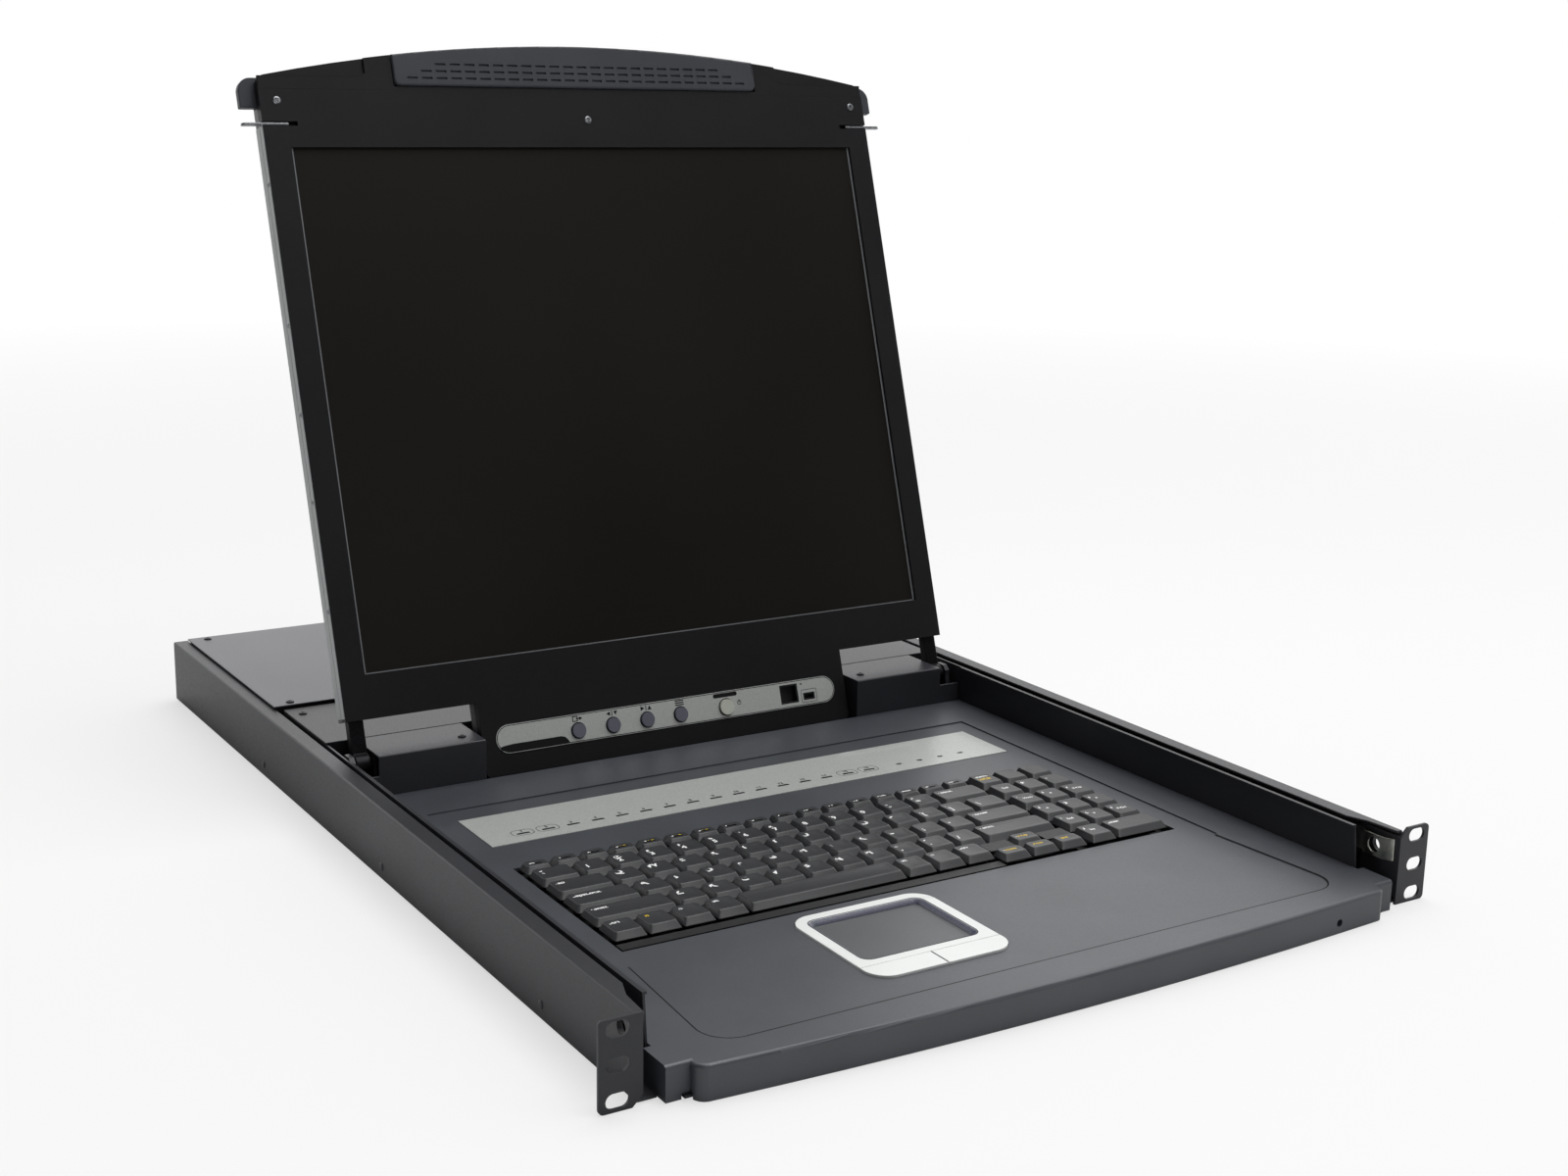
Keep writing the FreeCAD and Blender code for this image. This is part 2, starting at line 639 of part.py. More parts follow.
# Latch strikes: zinc springs with a hole for the lid's tab and a flared front lip
def make_latch_strikes():
    things = []
    for name, side in sides:
        body = new_body("strike_" + name)
        outer = leg_inside
        inner = leg_inside - s.strike_inset
        t = s.strike_sheet
        hole = latch_back
        half = s.latch_hole * 0.8
        bend = s.strike_inset
        foot = s.latch_hole * 1.1
        lip = s.latch_hole * 0.6
        pad(body, "XY", s.strike_bottom, s.strike_bottom + s.strike_height, [
            (side * (outer - t), hole + half + foot),
            (side * outer, hole + half + foot),
            (side * outer, hole + half + bend),
            (side * (inner + t), hole + half),
            (side * (inner + t), hole - half),
            (side * (inner + s.strike_inset), hole - half - lip),
            (side * (inner + s.strike_inset - t), hole - half - lip),
            (side * inner, hole - half),
            (side * inner, hole + half),
            (side * (outer - t), hole + half + bend)])
        pocket(body, "YZ", side * (inner - 1), side * (inner + t + 1),
               circles=[(hole, s.latch_height, s.latch_hole / 2)])
        things.append(body)
    return keep(group(things), "latch_strikes")


# Slide members: outer on the chassis, middle between, inner on the drawer
def slide_section(side, web, lip, low, high, sheet_size, opens):
    # a channel section with its web at one side and its lips towards the other
    t = sheet_size
    return [
        (side * web, low),
        (side * web, high),
        (side * lip, high),
        (side * lip, high - t),
        (side * (web + opens * t), high - t),
        (side * (web + opens * t), low + t),
        (side * lip, low + t),
        (side * lip, low)]


def make_slides():
    t = s.slide_sheet
    step = t + s.slide_play
    low = s.slide_bottom
    high = s.slide_bottom + s.slide_height
    front = s.slide_front
    members = [
        ("outer_slides", wall_inside, wall_inside - s.slide_lip, 0, -1),
        ("middle_slides", wall_inside - t - s.slide_play * 2, wall_inside - s.slide_lip, 1, -1),
        ("inner_slides", drawer_half, wall_inside - t * 2 - s.slide_play * 4, 2, 1)]
    for label, web, lip, level, opens in members:
        things = []
        for name, side in sides:
            body = new_body(label + "_" + name)
            section = slide_section(side, web, lip, low + step * level, high - step * level, t, opens)
            pad(body, "XZ", front, slide_rear, section)
            things.append(body)
        keep(group(things), label)


# Rear housing: floor, two side walls and a front wall, with standoffs for the board
def make_rear_housing():
    body = new_body("rear_housing")
    t = s.housing_sheet
    floor = -s.channel_drop + s.channel_sheet
    front = housing_front
    rear = rear_depth - s.panel_sheet
    pad(body, "XY", floor, floor + t, box_outline(-wall_inside + s.seam_gap, wall_inside - s.seam_gap, front, rear))
    for side in (-1, 1):
        pad(body, "XY", floor + t, s.housing_rise,
            box_outline(side * (housing_half - t), side * housing_half, front, rear))
    pad(body, "XY", floor + t, s.housing_rise,
        box_outline(-housing_half + t, housing_half - t, front, front + t))
    posts = []
    for x in (board_left() + 8, board_right() - 8):
        for y in (board_front() + 8, board_rear() - 18):
            posts.append(box_outline(x - 3, x + 3, y - 3, y + 3))
    pad(body, "XY", floor + t, floor + t + s.standoff, *posts)
    return keep(body, "rear_housing")


def housing_floor():
    return s.channel_sheet - s.channel_drop + s.housing_sheet


def board_left():
    return module_x + s.module_wide / 2 + 24


def board_right():
    return housing_half - s.housing_sheet - 10


def board_front():
    return housing_front + s.housing_sheet + 12


def board_rear():
    return rear_depth - s.panel_sheet - 1


# Rear top cover with turned-down sides
def make_rear_top_cover():
    body = new_body("rear_top_cover")
    top = s.housing_rise
    rear = rear_depth - s.panel_sheet - 2
    pad(body, "XY", top, top + s.cover_sheet, box_outline(-cover_half, cover_half, cover_front, rear))
    for side in (-1, 1):
        pad(body, "XY", top - s.cover_skirt, top,
            box_outline(side * housing_half, side * (housing_half + s.cover_sheet), housing_front, rear))
    return keep(body, "rear_top_cover")


# Rear panel with the openings for the power entry and the station sockets
def station_places():
    places = []
    for column in range(8):
        for row_side in (-1, 1):
            places.append((station_start + column * s.station_pitch, row_side * s.station_rise))
    return places


def make_rear_panel():
    body = new_body("rear_panel")
    rear = rear_depth
    front = rear - s.panel_sheet
    floor = -s.channel_drop + s.channel_sheet
    reach = wall_inside - s.seam_gap
    pad(body, "XZ", front, rear, box_outline(-reach, reach, floor, s.channel_rise - s.channel_sheet - s.seam_gap))
    gap = s.seam_gap
    pocket(body, "XZ", front - 1, rear + 1,
           box_outline(module_x - s.module_wide / 2 - gap, module_x + s.module_wide / 2 + gap,
                       -s.module_high / 2 - gap, s.module_high / 2 + gap))
    openings = []
    for x, z in station_places():
        openings.append(box_outline(x - s.station_wide / 2 - gap, x + s.station_wide / 2 + gap,
                                    z - s.station_high / 2 - gap, z + s.station_high / 2 + gap))
    pocket(body, "XZ", front - 1, rear + 1, *openings)
    return keep(body, "rear_panel")


# Power entry: one moulded module with the inlet socket and the switch bay
def rocker_x():
    return module_x + s.module_wide / 2 - s.rocker_wide / 2 - 5


def inlet_x():
    return module_x - s.module_wide / 2 + s.inlet_wide / 2 + 3


def make_power_entry():
    body = new_body("power_entry_module")
    rear = rear_depth
    half_x = s.module_wide / 2
    half_z = s.module_high / 2
    pad(body, "XZ", rear - s.module_deep, rear,
        box_outline(module_x - half_x, module_x + half_x, -half_z, half_z))
    pad(body, "XZ", rear, rear + s.module_flange,
        box_outline(module_x - half_x - 3, module_x + half_x + 3, -half_z - 2, half_z + 2))
    x = inlet_x()
    wide, high = s.inlet_wide / 2, s.inlet_high / 2
    bevel = s.inlet_high / 4
    face = rear + s.module_flange
    pocket(body, "XZ", face - s.inlet_deep, face + 1, [
        (x - wide, -high), (x + wide, -high), (x + wide, high - bevel), (x + wide - bevel, high),
        (x - wide + bevel, high), (x - wide, high - bevel)])
    pins = []
    for pin_x, pin_z in ((-7.0, -2.0), (0.0, 2.0), (7.0, -2.0)):
        pins.append(box_outline(x + pin_x - 1, x + pin_x + 1, pin_z - 2.0, pin_z + 2.0))
    pad(body, "XZ", face - s.inlet_deep, face - s.pin_recess, *pins)
    x = rocker_x()
    gap = s.press_gap + 0.2
    pocket(body, "XZ", face - 14, face + 1,
           box_outline(x - s.rocker_wide / 2 - gap, x + s.rocker_wide / 2 + gap,
                       -s.rocker_high / 2 - 3 * gap, s.rocker_high / 2 + 3 * gap))
    return keep(body, "power_entry_module")


# Power rocker: a paddle with two faces, on a cross pin
def make_power_rocker():
    body = new_body("power_rocker")
    x = rocker_x()
    face = rear_depth + s.module_flange
    half = s.rocker_high / 2
    pad(body, "YZ", x - s.rocker_wide / 2, x + s.rocker_wide / 2, [
        (face - 5, -half), (face + 1.6, -half), (face - 0.2, 0), (face + 1.6, half),
        (face - 5, half), (face - 10, 3.0), (face - 10, -3.0)])
    return keep(body, "power_rocker")


# Station sockets: shell, insert and two jack posts each
def make_station_sockets():
    things = []
    rear = rear_depth
    for x, z in station_places():
        half_x, half_z = s.station_wide / 2, s.station_high / 2
        edge = s.station_edge
        post = s.station_post / 2
        face = rear + s.station_proud
        shell = block(x - half_x, x + half_x, rear - s.station_proud * 1.5, face, z - half_z, z + half_z)
        hollow = block(x - half_x + edge, x + half_x - edge, face - edge, face + edge,
                       z - half_z + edge, z + half_z - edge)
        things.append(cut(shell, hollow))
        for post_side in (-1, 1):
            post_x = x + post_side * (half_x + s.station_post * 0.8)
            things.append(block(post_x - post, post_x + post, rear, face - edge, z - post, z + post))
    return keep(group(things), "station_sockets")


# Circuit board behind the station sockets, with its main chips
def make_main_board():
    floor = housing_floor() + s.standoff
    left, right = board_left(), board_right()
    front, rear = board_front(), board_rear()
    top = floor + s.board_thick
    wide, deep = right - left, rear - front
    things = [block(left, right, front, rear - s.station_proud * 1.7, floor, top)]
    # chips: their place and size as shares of the board, their height in board thicknesses
    for x, y, chip_wide, chip_deep, high in (
            (0.1, 0.25, 0.08, 0.17, 1.6), (0.3, 0.25, 0.07, 0.14, 1.4), (0.48, 0.28, 0.06, 0.16, 1.4),
            (0.68, 0.38, 0.05, 0.1, 5.5), (0.2, 0.56, 0.1, 0.09, 2.5), (0.4, 0.6, 0.1, 0.09, 2.5)):
        things.append(block(left + wide * x, left + wide * (x + chip_wide), front + deep * y,
                            front + deep * (y + chip_deep), top, top + s.board_thick * high))
    return keep(join(things), "main_circuit_board")


# Power supply: closed metal box with slotted ends
def make_power_supply():
    body = new_body("power_supply")
    left = -housing_half + s.housing_sheet + 4
    right = left + s.supply_wide - 12
    front = housing_front + s.housing_sheet + 6
    rear = front + s.supply_deep
    floor = housing_floor()
    pad(body, "XY", floor, floor + s.supply_high, box_outline(left, right, front, rear))
    vents = []
    for step in range(8):
        y = front + 14 + step * 12.0
        vents.append(box_outline(left + 10, right - 10, y, y + 4.0))
    pocket(body, "XY", floor + s.supply_high - 1.0, floor + s.supply_high + 1, *vents)
    return keep(body, "power_supply")


# Base tray of the drawer: floor, side walls with a turned-in top edge, rear wall
def make_base_tray():
    body = new_body("base_tray")
    t = s.tray_sheet
    bottom = s.tray_bottom
    floor = bottom + t
    pad(body, "XY", bottom, floor,
        box_outline(-drawer_half, drawer_half, s.tray_front, tray_rear))
    nose = front_half + 3.5
    pad(body, "XY", bottom, floor, box_outline(-nose, nose, -s.wing_front - 2, s.tray_front))
    for side in (-1, 1):
        pad(body, "YZ", side * (drawer_half - t), side * drawer_half, [
            (s.tray_front - 3, floor), (tray_rear, floor), (tray_rear, s.tray_rise),
            (s.tray_front + 1, s.tray_rise)])
        pad(body, "XY", s.tray_rise - t, s.tray_rise,
            box_outline(side * (drawer_half - s.tray_lip), side * (drawer_half - t),
                        s.tray_front + 1, hinge_cover_front - 1))
    pad(body, "XZ", tray_rear - t, tray_rear,
        box_outline(-drawer_half + t, drawer_half - t, floor, s.tray_rise))
    return keep(body, "base_tray")


# Keyboard deck: one moulding with a bowed front, two front wings and sunk fields
def well_box(grow):
    grow = as_size(grow)
    return box_outline(s.keys_left - s.well_margin - grow, keys_right + s.well_margin + grow,
                       s.keys_front - s.well_front - grow, keys_rear + s.well_margin + grow)


def bow_radius(half, rise):
    return (half * half + rise * rise) / (2 * rise)


def deck_half():
    return drawer_half - s.tray_sheet - s.deck_side_gap


def make_keyboard_deck():
    body = new_body("keyboard_deck")
    top = s.deck_top
    bottom = top - s.deck_drop
    rise = s.front_bow - s.front_ends
    wing_rear = s.tray_front - 4
    half = deck_half()
    bow = bow_radius(front_half, rise)
    r = s.front_round
    turn = front_half - r
    bow_end = turn * turn / (2 * bow) - s.front_bow
    pad(body, "XY", bottom, top, [
        (-half, deck_rear), (-half, wing_rear), (-wing_half, wing_rear), (-wing_half, -s.wing_front),
        (-front_half, -s.wing_front), (-front_half, bow_end + r, r), (-turn, bow_end, bow),
        (turn, bow_end, r), (front_half, bow_end + r), (front_half, -s.wing_front),
        (wing_half, -s.wing_front), (wing_half, wing_rear), (half, wing_rear), (half, deck_rear)])
    round_edges(body, s.edge_round, lambda e: near(e.BoundBox.Center.z, top)
                and e.BoundBox.YMax < -s.wing_front.number + 0.01)
    # hollow underside, open at the rear
    w = s.deck_wall
    inside = wing_half - w - 4
    pocket(body, "XY", bottom - 1, top - w, [
        (-half + w, deck_rear + 1), (-half + w, wing_rear), (-inside, wing_rear),
        (-inside, -s.wing_front + w), (inside, -s.wing_front + w), (inside, wing_rear),
        (half - w, wing_rear), (half - w, deck_rear + 1)])
    # the skirts stop above the tray's floor
    floor = s.tray_bottom + s.tray_sheet + s.seam_gap
    pocket(body, "XY", bottom - 1, floor,
           box_outline(-wing_half - 1, wing_half + 1, s.tray_front - 4 + s.seam_gap, deck_rear + 1))
    pocket(body, "XY", bottom - 1, floor,
           box_outline(-front_half - 4, front_half + 4, -s.wing_front - 2 - s.seam_gap, s.tray_front))
    # sunk field round the keys and the strip
    pocket(body, "XY", top - s.recess_deep, top + 1,
           box_outline(-recess_half, recess_half, s.palm_rear, recess_rear))
    # well for the keys
    pocket(body, "XY", top - w - 1, top + 1, well_box(0))
    # fine groove round the palm rest
    g = s.groove_wide
    wide_rear, wide_front = palm_half_rear, palm_half_front
    r = s.palm_round
    y0, y1 = s.palm_front, s.palm_rear
    outer = [(-wide_rear, y1), (-wide_front, y0 + r, r), (-wide_front + r, y0), (wide_front - r, y0, r),
             (wide_front, y0 + r), (wide_rear, y1)]
    inner = [(-wide_rear + g, y1), (-wide_front + g, y0 + r, r - g), (-wide_front + r, y0 + g),
             (wide_front - r, y0 + g, r - g), (wide_front - g, y0 + r), (wide_rear - g, y1)]
    pocket(body, "XY", top - s.groove_deep, top + 1, outer, inner)
    # seat of the indicator strip
    gap = s.seam_gap
    pocket(body, "XY", strip_top() - s.strip_thick, top + 1,
           box_outline(-strip_half - gap, strip_half + gap, strip_front - gap,
                       strip_front + s.strip_deep + gap))
    # opening for the touchpad and its buttons
    pocket(body, "XY", top - w - 1, top + 1, box_outline(*touch_box(-s.touch_ledge)))
    pocket(body, "XY", top - s.frame_seat, top + 1,
           round_box(touch_box(s.seam_gap), s.touch_round + s.seam_gap))
    # small hole in the front face
    pocket(body, "XZ", -s.front_bow - 1, 2, circles=[(s.lamp_hole_x, s.lamp_hole_z, s.lamp_hole_radius)])
    return keep(body, "keyboard_deck")


def round_box(box, r):
    x0, x1, y0, y1 = box
    return [(x0, y0 + r, r), (x0 + r, y0), (x1 - r, y0, r), (x1, y0 + r), (x1, y1 - r, r), (x1 - r, y1),
            (x0 + r, y1, r), (x0, y1 - r)]


def touch_box(grow):
    grow = as_size(grow)
    return (s.touch_left - grow, s.touch_left + s.touch_wide + grow,
            s.touch_front - grow, s.touch_front + s.touch_deep + grow)


def strip_top():
    return s.deck_top - s.recess_deep + 0.3


# Rear deck plate: bridges the drawer behind the hinge and closes the hinge well
def make_rear_deck_plate():
    body = new_body("rear_deck_plate")
    t = s.hinge_cover_sheet
    bottom = s.tray_rise
    pad(body, "XY", bottom, bottom + t,
        box_outline(-drawer_half, drawer_half, plate_front, tray_rear))
    reach = drawer_half - s.tray_sheet - s.seam_gap
    pad(body, "XY", s.tray_bottom + s.tray_sheet + s.seam_gap, bottom,
        box_outline(-reach, reach, plate_front, plate_front + t))
    return keep(body, "rear_deck_plate")


# Hinge covers: folded boxes beside the lid's tongue
def make_hinge_cover(name, side):
    body = new_body("hinge_cover_" + name)
    t = s.hinge_cover_sheet
    top = s.tray_rise + t
    floor = s.tray_bottom + s.tray_sheet + s.seam_gap
    front, rear = hinge_cover_front, hinge_cover_rear
    inner, outer = s.hinge_cover_inner, hinge_cover_outer
    apron = drawer_half - s.tray_sheet - 1
    pad(body, "XY", top - t, top, box_outline(side * inner, side * outer, front, rear))
    pad(body, "XZ", front, front + t, box_outline(side * inner, side * outer, floor, top - t))
    pad(body, "XZ", front, front + t, box_outline(side * outer, side * apron, floor, s.apron_top))
    pad(body, "YZ", side * inner, side * (inner + t), box_outline(front + t, rear, floor, top - t))
    round_edges(body, s.hinge_cover_round, lambda e: runs_along(e, x_axis)
                and near(e.BoundBox.Center.y, front) and near(e.BoundBox.Center.z, top))
    return keep(body, "hinge_cover_" + name)


# Hinge brackets: foot, two cheeks and the pin between them
def make_hinge_bracket(name, side):
    body = new_body("hinge_bracket_" + name)
    floor = s.tray_bottom + s.tray_sheet
    t = s.bracket_sheet
    inner = arm_inner - 0.8 - t
    outer = arm_inner + s.arm_wide + 0.8
    y0 = s.hinge_back - s.bracket_deep / 2
    y1 = s.hinge_back + s.bracket_deep / 2
    top = s.hinge_rise + s.arm_radius
    pad(body, "XY", floor, floor + t, box_outline(side * inner, side * (outer + t), y0, y1))
    for x in (inner, outer):
        pad(body, "YZ", side * x, side * (x + t), [
            (y0, floor + t), (y1, floor + t), (s.hinge_back + s.arm_radius, s.hinge_rise),
            (s.hinge_back + s.arm_radius, top - 3), (s.hinge_back + s.arm_radius - 3, top),
            (s.hinge_back - s.arm_radius + 3, top), (s.hinge_back - s.arm_radius, top - 3),
            (s.hinge_back - s.arm_radius, s.hinge_rise)])
    pad(body, "YZ", side * (inner + t), side * outer, circles=[(s.hinge_back, s.hinge_rise, s.hinge_pin)])
    return keep(body, "hinge_bracket_" + name)


# Keyboard: a plate with channels, and the keys of each row
row_names = ("bottom_row_keys", "shift_row_keys", "home_row_keys", "upper_row_keys", "number_row_keys")
row_units = (
    (1.0, 1.0, 1.0, 1.0, None, 1.0, 1.0, 1.0),
    (2.5,) + (1.0,) * 10 + (2.5,),
    (2.0,) + (1.0,) * 11 + (2.0,),
    (1.75,) + (1.0,) * 12 + (1.25,),
    (1.25,) + (1.0,) * 12 + (1.75,),
)
space_units = 5.0
function_keys = 17


def key_cap(x0, x1, y0, y1):
    # a keycap with tapered sides and a sloping front, and its stem below
    gap = s.key_gap / 2
    x0, x1, y0, y1 = x0 + gap, x1 - gap, y0 + gap, y1 - gap
    cap = document.addObject("Part::Wedge", "cap")
    cap.Placement = FreeCAD.Placement(vector(0, 0, 0), FreeCAD.Rotation(x_axis, 90))
    low = s.key_skirt
    # the wedge's own y axis stands upright, its z axis runs to the front
    for name, value in (
            ("Xmin", x0), ("Xmax", x1), ("Zmin", -y1), ("Zmax", -y0), ("Ymin", low),
            ("Ymax", low + s.key_rise), ("X2min", x0 + s.key_taper), ("X2max", x1 - s.key_taper),
            ("Z2min", -y1 + s.key_taper * 0.4), ("Z2max", -y0 - s.key_front_taper)):
        bind(cap, name, value)
    half = s.key_stem / 2
    x, y = (x0 + x1) / 2, (y0 + y1) / 2
    stem = block(x - half, x + half, y - half, y + half, s.key_plate_top - 0.8, low)
    return [cap, stem]


def make_key_row(label, rectangles):
    things = []
    for rectangle in rectangles:
        things.extend(key_cap(*rectangle))
    return keep(join(things), label)


def make_keys():
    unit = s.unit_wide
    for row, (label, units) in enumerate(zip(row_names, row_units)):
        y0 = main_front + row * s.row_deep
        y1 = y0 + s.row_deep
        x = s.keys_left
        rectangles = []
        for width in units:
            if width is None:
                make_key_row("space_bar", [(x, x + space_units * unit, y0, y1)])
                x = x + space_units * unit
                continue
            rectangles.append((x, x + width * unit, y0, y1))
            x = x + width * unit
        if row == 0:
            # three arrow keys in front, the upper arrow behind the middle one
            for step in range(3):
                x = arrow_left + step * unit
                rectangles.append((x, x + unit, s.keys_front, arrow_middle))
            rectangles.append((arrow_left + unit, arrow_left + 2 * unit, arrow_middle, y1))
        make_key_row(label, rectangles)
    width = main_units / function_keys * unit
    rectangles = []
    for step in range(function_keys):
        x = s.keys_left + step * width
        rectangles.append((x, x + width, function_front, keys_rear))
    make_key_row("function_row_keys", rectangles)
    width = (keys_right - number_left) / 3
    rectangles = []
    for row in range(6):
        y0 = s.keys_front + row * s.row_deep
        y1 = y0 + s.row_deep
        if row == 0:
            rectangles.append((number_left, number_left + width, y0, y1))
            rectangles.append((number_left + width, keys_right, y0, y1))
            continue
        for column in range(3):
            x = number_left + column * width
            rectangles.append((x, x + width, y0, y1))
    make_key_row("number_pad_keys", rectangles)


def stem_channel(x0, x1, middle):
    half = s.key_stem / 2 + s.press_gap
    return box_outline(x0, x1, middle - half, middle + half)


def make_keyboard_plate():
    body = new_body("keyboard_plate")
    top = s.key_plate_top
    rim = s.deck_top - s.deck_wall
    margin = as_size(4.0)
    pad(body, "XY", top - s.key_plate_sheet, top, well_box(margin))
    pad(body, "XY", top, rim, well_box(margin), well_box(0))
    # flat strip before the main rows
    pad(body, "XY", top, s.flap_top, box_outline(
        s.keys_left - s.well_margin + s.flap_edge, arrow_left - s.well_margin,
        s.keys_front - s.well_front + s.flap_edge, main_front - s.flap_gap))
    # blank fields beside the upper arrow key
    half = s.key_gap / 2
    for step in (0, 2):
        x = arrow_left + step * s.unit_wide
        pad(body, "XY", top, s.filler_top, box_outline(
            x + half, x + s.unit_wide - half, arrow_middle + half, main_front + s.row_deep - s.filler_gap))
    # channels for the key stems
    left = s.keys_left + 2
    right = main_right - 2
    channels = []
    for row in range(1, 5):
        channels.append(stem_channel(left, right, main_front + (row + 0.5) * s.row_deep))
    channels.append(stem_channel(left, arrow_left - 0.8, main_front + 0.5 * s.row_deep))
    channels.append(stem_channel(left, right, (function_front + keys_rear) / 2))
    channels.append(stem_channel(arrow_left + 1.2, right, s.keys_front + arrow_deep * 0.25))
    channels.append(stem_channel(arrow_left + s.unit_wide + 1.2, arrow_left + s.unit_wide * 2 - 1.2,
                                 s.keys_front + arrow_deep * 0.75))
    for row in range(6):
        channels.append(stem_channel(number_left + 2, keys_right - 2, s.keys_front + (row + 0.5) * s.row_deep))
    pocket(body, "XY", top - s.key_plate_sheet - 1, top + 1, *channels)
    return keep(body, "keyboard_plate")


# Touchpad: frame, pad and two buttons
def make_touchpad():
    top = s.deck_top + s.frame_proud
    bottom = s.deck_top - s.frame_seat
    left, right = s.touch_left, s.touch_left + s.touch_wide
    front, rear = s.touch_front, s.touch_front + s.touch_deep
    border = s.touch_border
    button_rear = front + s.touch_button_deep
    gap = s.press_gap
    middle = (left + right) / 2
    opening = (left + border, right - border, button_rear + s.touch_bar, rear - border)
    frame = new_body("touchpad_frame")
    pad(frame, "XY", bottom, top, box_outline(left, right, front, rear))
    round_edges(frame, s.touch_round, lambda e: runs_along(e, z_axis))
    pocket(frame, "XY", bottom - 1, top + 1, round_box(opening, s.touch_inner_round))
    pocket(frame, "XY", bottom - 1, top + 1,
           box_outline(left - 1, right + 1, front - 1, button_rear))
    keep(frame, "touchpad_frame")
    pad_top = top - s.touch_sink
    lap = as_size(1.5)
    x0, x1, y0, y1 = opening
    surface = new_body("touchpad_surface")
    pad(surface, "XY", pad_top - 2.5, pad_top, box_outline(x0 - lap, x1 + lap, y0 - lap, y1 + lap))
    keep(surface, "touchpad_surface")
    for name, side in sides:
        button = new_body("touchpad_button_" + name)
        x0 = left if side < 0 else middle + gap / 2
        x1 = middle - gap / 2 if side < 0 else right
        pad(button, "XY", bottom + s.touch_button_travel, top, box_outline(x0, x1, front, button_rear - gap))
        corner = left if side < 0 else right
        round_edges(button, s.touch_round, lambda e: runs_along(e, z_axis)
                    and near(e.BoundBox.Center.x, corner) and near(e.BoundBox.Center.y, front))
        inset = 4.0
        pad(button, "XY", s.deck_top - s.deck_wall - 1, bottom + s.touch_button_travel,
            box_outline(x0 + inset, x1 - inset, front + inset, button_rear - inset))
        keep(button, "touchpad_button_" + name)


# Indicator strip with the station windows and the status lamps
def make_indicator_strip():
    body = new_body("indicator_strip")
    top = strip_top()
    bottom = top - s.strip_thick
    pad(body, "XY", bottom, top,
        box_outline(-strip_half, strip_half, strip_front, strip_front + s.strip_deep))
    windows = []
    for step in range(16):
        windows.append(window_box(step, 0))
    pocket(body, "XY", bottom - 1, top + 1, *windows)
    dots = [(s.dot_start + step * s.dot_pitch, lamp_line, s.dot_radius) for step in range(4)]
    pocket(body, "XY", bottom - 1, top + 1, circles=dots)
    keep(body, "indicator_strip")
    things = []
    for step in range(16):
        x = s.lamp_start + step * s.lamp_pitch
        half = s.lamp_wide / 2 - 0.1
        deep = s.lamp_deep / 2 - 0.1
        things.append(block(x - half, x + half, lamp_line - deep, lamp_line + deep, bottom, top - 0.2))
    for step in range(4):
        things.append(rod(s.dot_radius - 0.1, s.strip_thick - 0.2,
                          s.dot_start + step * s.dot_pitch, lamp_line, bottom))
    keep(group(things), "indicator_lights")


def window_box(step, grow):
    x = s.lamp_start + step * s.lamp_pitch
    half, deep = s.lamp_wide / 2 + grow, s.lamp_deep / 2 + grow
    return box_outline(x - half, x + half, lamp_line - deep, lamp_line + deep)


# Controller board under the deck
def make_controller_board():
    floor = s.tray_bottom + s.tray_sheet
    post = s.standoff / 2
    side = s.standoff * 1.2
    left = s.keys_left + s.unit_wide
    right = left + s.controller_wide
    rear = strip_front + s.strip_deep * 1.7
    front = rear - s.controller_deep
    top = floor + post + s.board_thick
    things = [block(left, right, front, rear, floor + post, top)]
    for x in (left, right - side):
        for y in (front, rear - side):
            things.append(block(x, x + side, y, y + side, floor, floor + post))
    middle = (left + right) / 2
    things.append(block(left + side * 4, middle - side, front + side * 2, rear - side * 2, top,
                        top + s.board_thick))
    things.append(block(middle + side, right - side * 3, front + side, front + side * 2, top,
                        top + s.board_thick * 3))
    return keep(join(things), "controller_board")


# Lid shells. Their own frame stands upright on the hinge axis: y to the rear, z up the lid.
lid_face = -s.lid_front
bezel_rear = lid_face + s.bezel_deep
lid_rear = bezel_rear + s.back_deep


def lid_outline(trim):
    # the lid's outline, smaller all round by trim; the top is one shallow arc
    rise = lid_crown - lid_side
    crown = bow_radius(lid_half, rise)
    half = lid_half - trim
    tongue = s.tongue_half - trim
    foot = -s.tongue_drop + trim
    step = s.shoulder + trim
    top = lid_side - trim
    return [(-half, step), (-tongue, step), (-tongue, foot), (tongue, foot), (tongue, step), (half, step),
            (half, top, crown), (-half, top)]


def grip_outline(grow):
    half = s.grip_half + grow
    low = grip_bottom - grow
    return box_outline(-half, half, low, lid_crown + 5)


def arm_notches(grow):
    outlines = []
    for side in (-1, 1):
        outlines.append(box_outline(side * (arm_inner - grow), side * (arm_inner + s.arm_wide + grow),
                                    s.shoulder - 1, s.shoulder + 5))
    return outlines


def control_buttons(grow):
    circles = []
    for step in range(4):
        circles.append((s.osd_button_start + step * s.osd_button_pitch, s.osd_button_line,
                        s.osd_button_radius + grow))
    circles.append((s.power_button_x, s.osd_button_line, s.power_button_radius + grow))
    return circles


def service_openings(grow):
    return [box_outline(s.jack_x - s.jack_wide / 2 - grow, s.jack_x + s.jack_wide / 2 + grow,
                        s.jack_z - s.jack_high / 2 - grow, s.jack_z + s.jack_high / 2 + grow),
            box_outline(s.port_x - s.port_wide / 2 - grow, s.port_x + s.port_wide / 2 + grow,
                        s.port_z - s.port_high / 2 - grow, s.port_z + s.port_high / 2 + grow)]


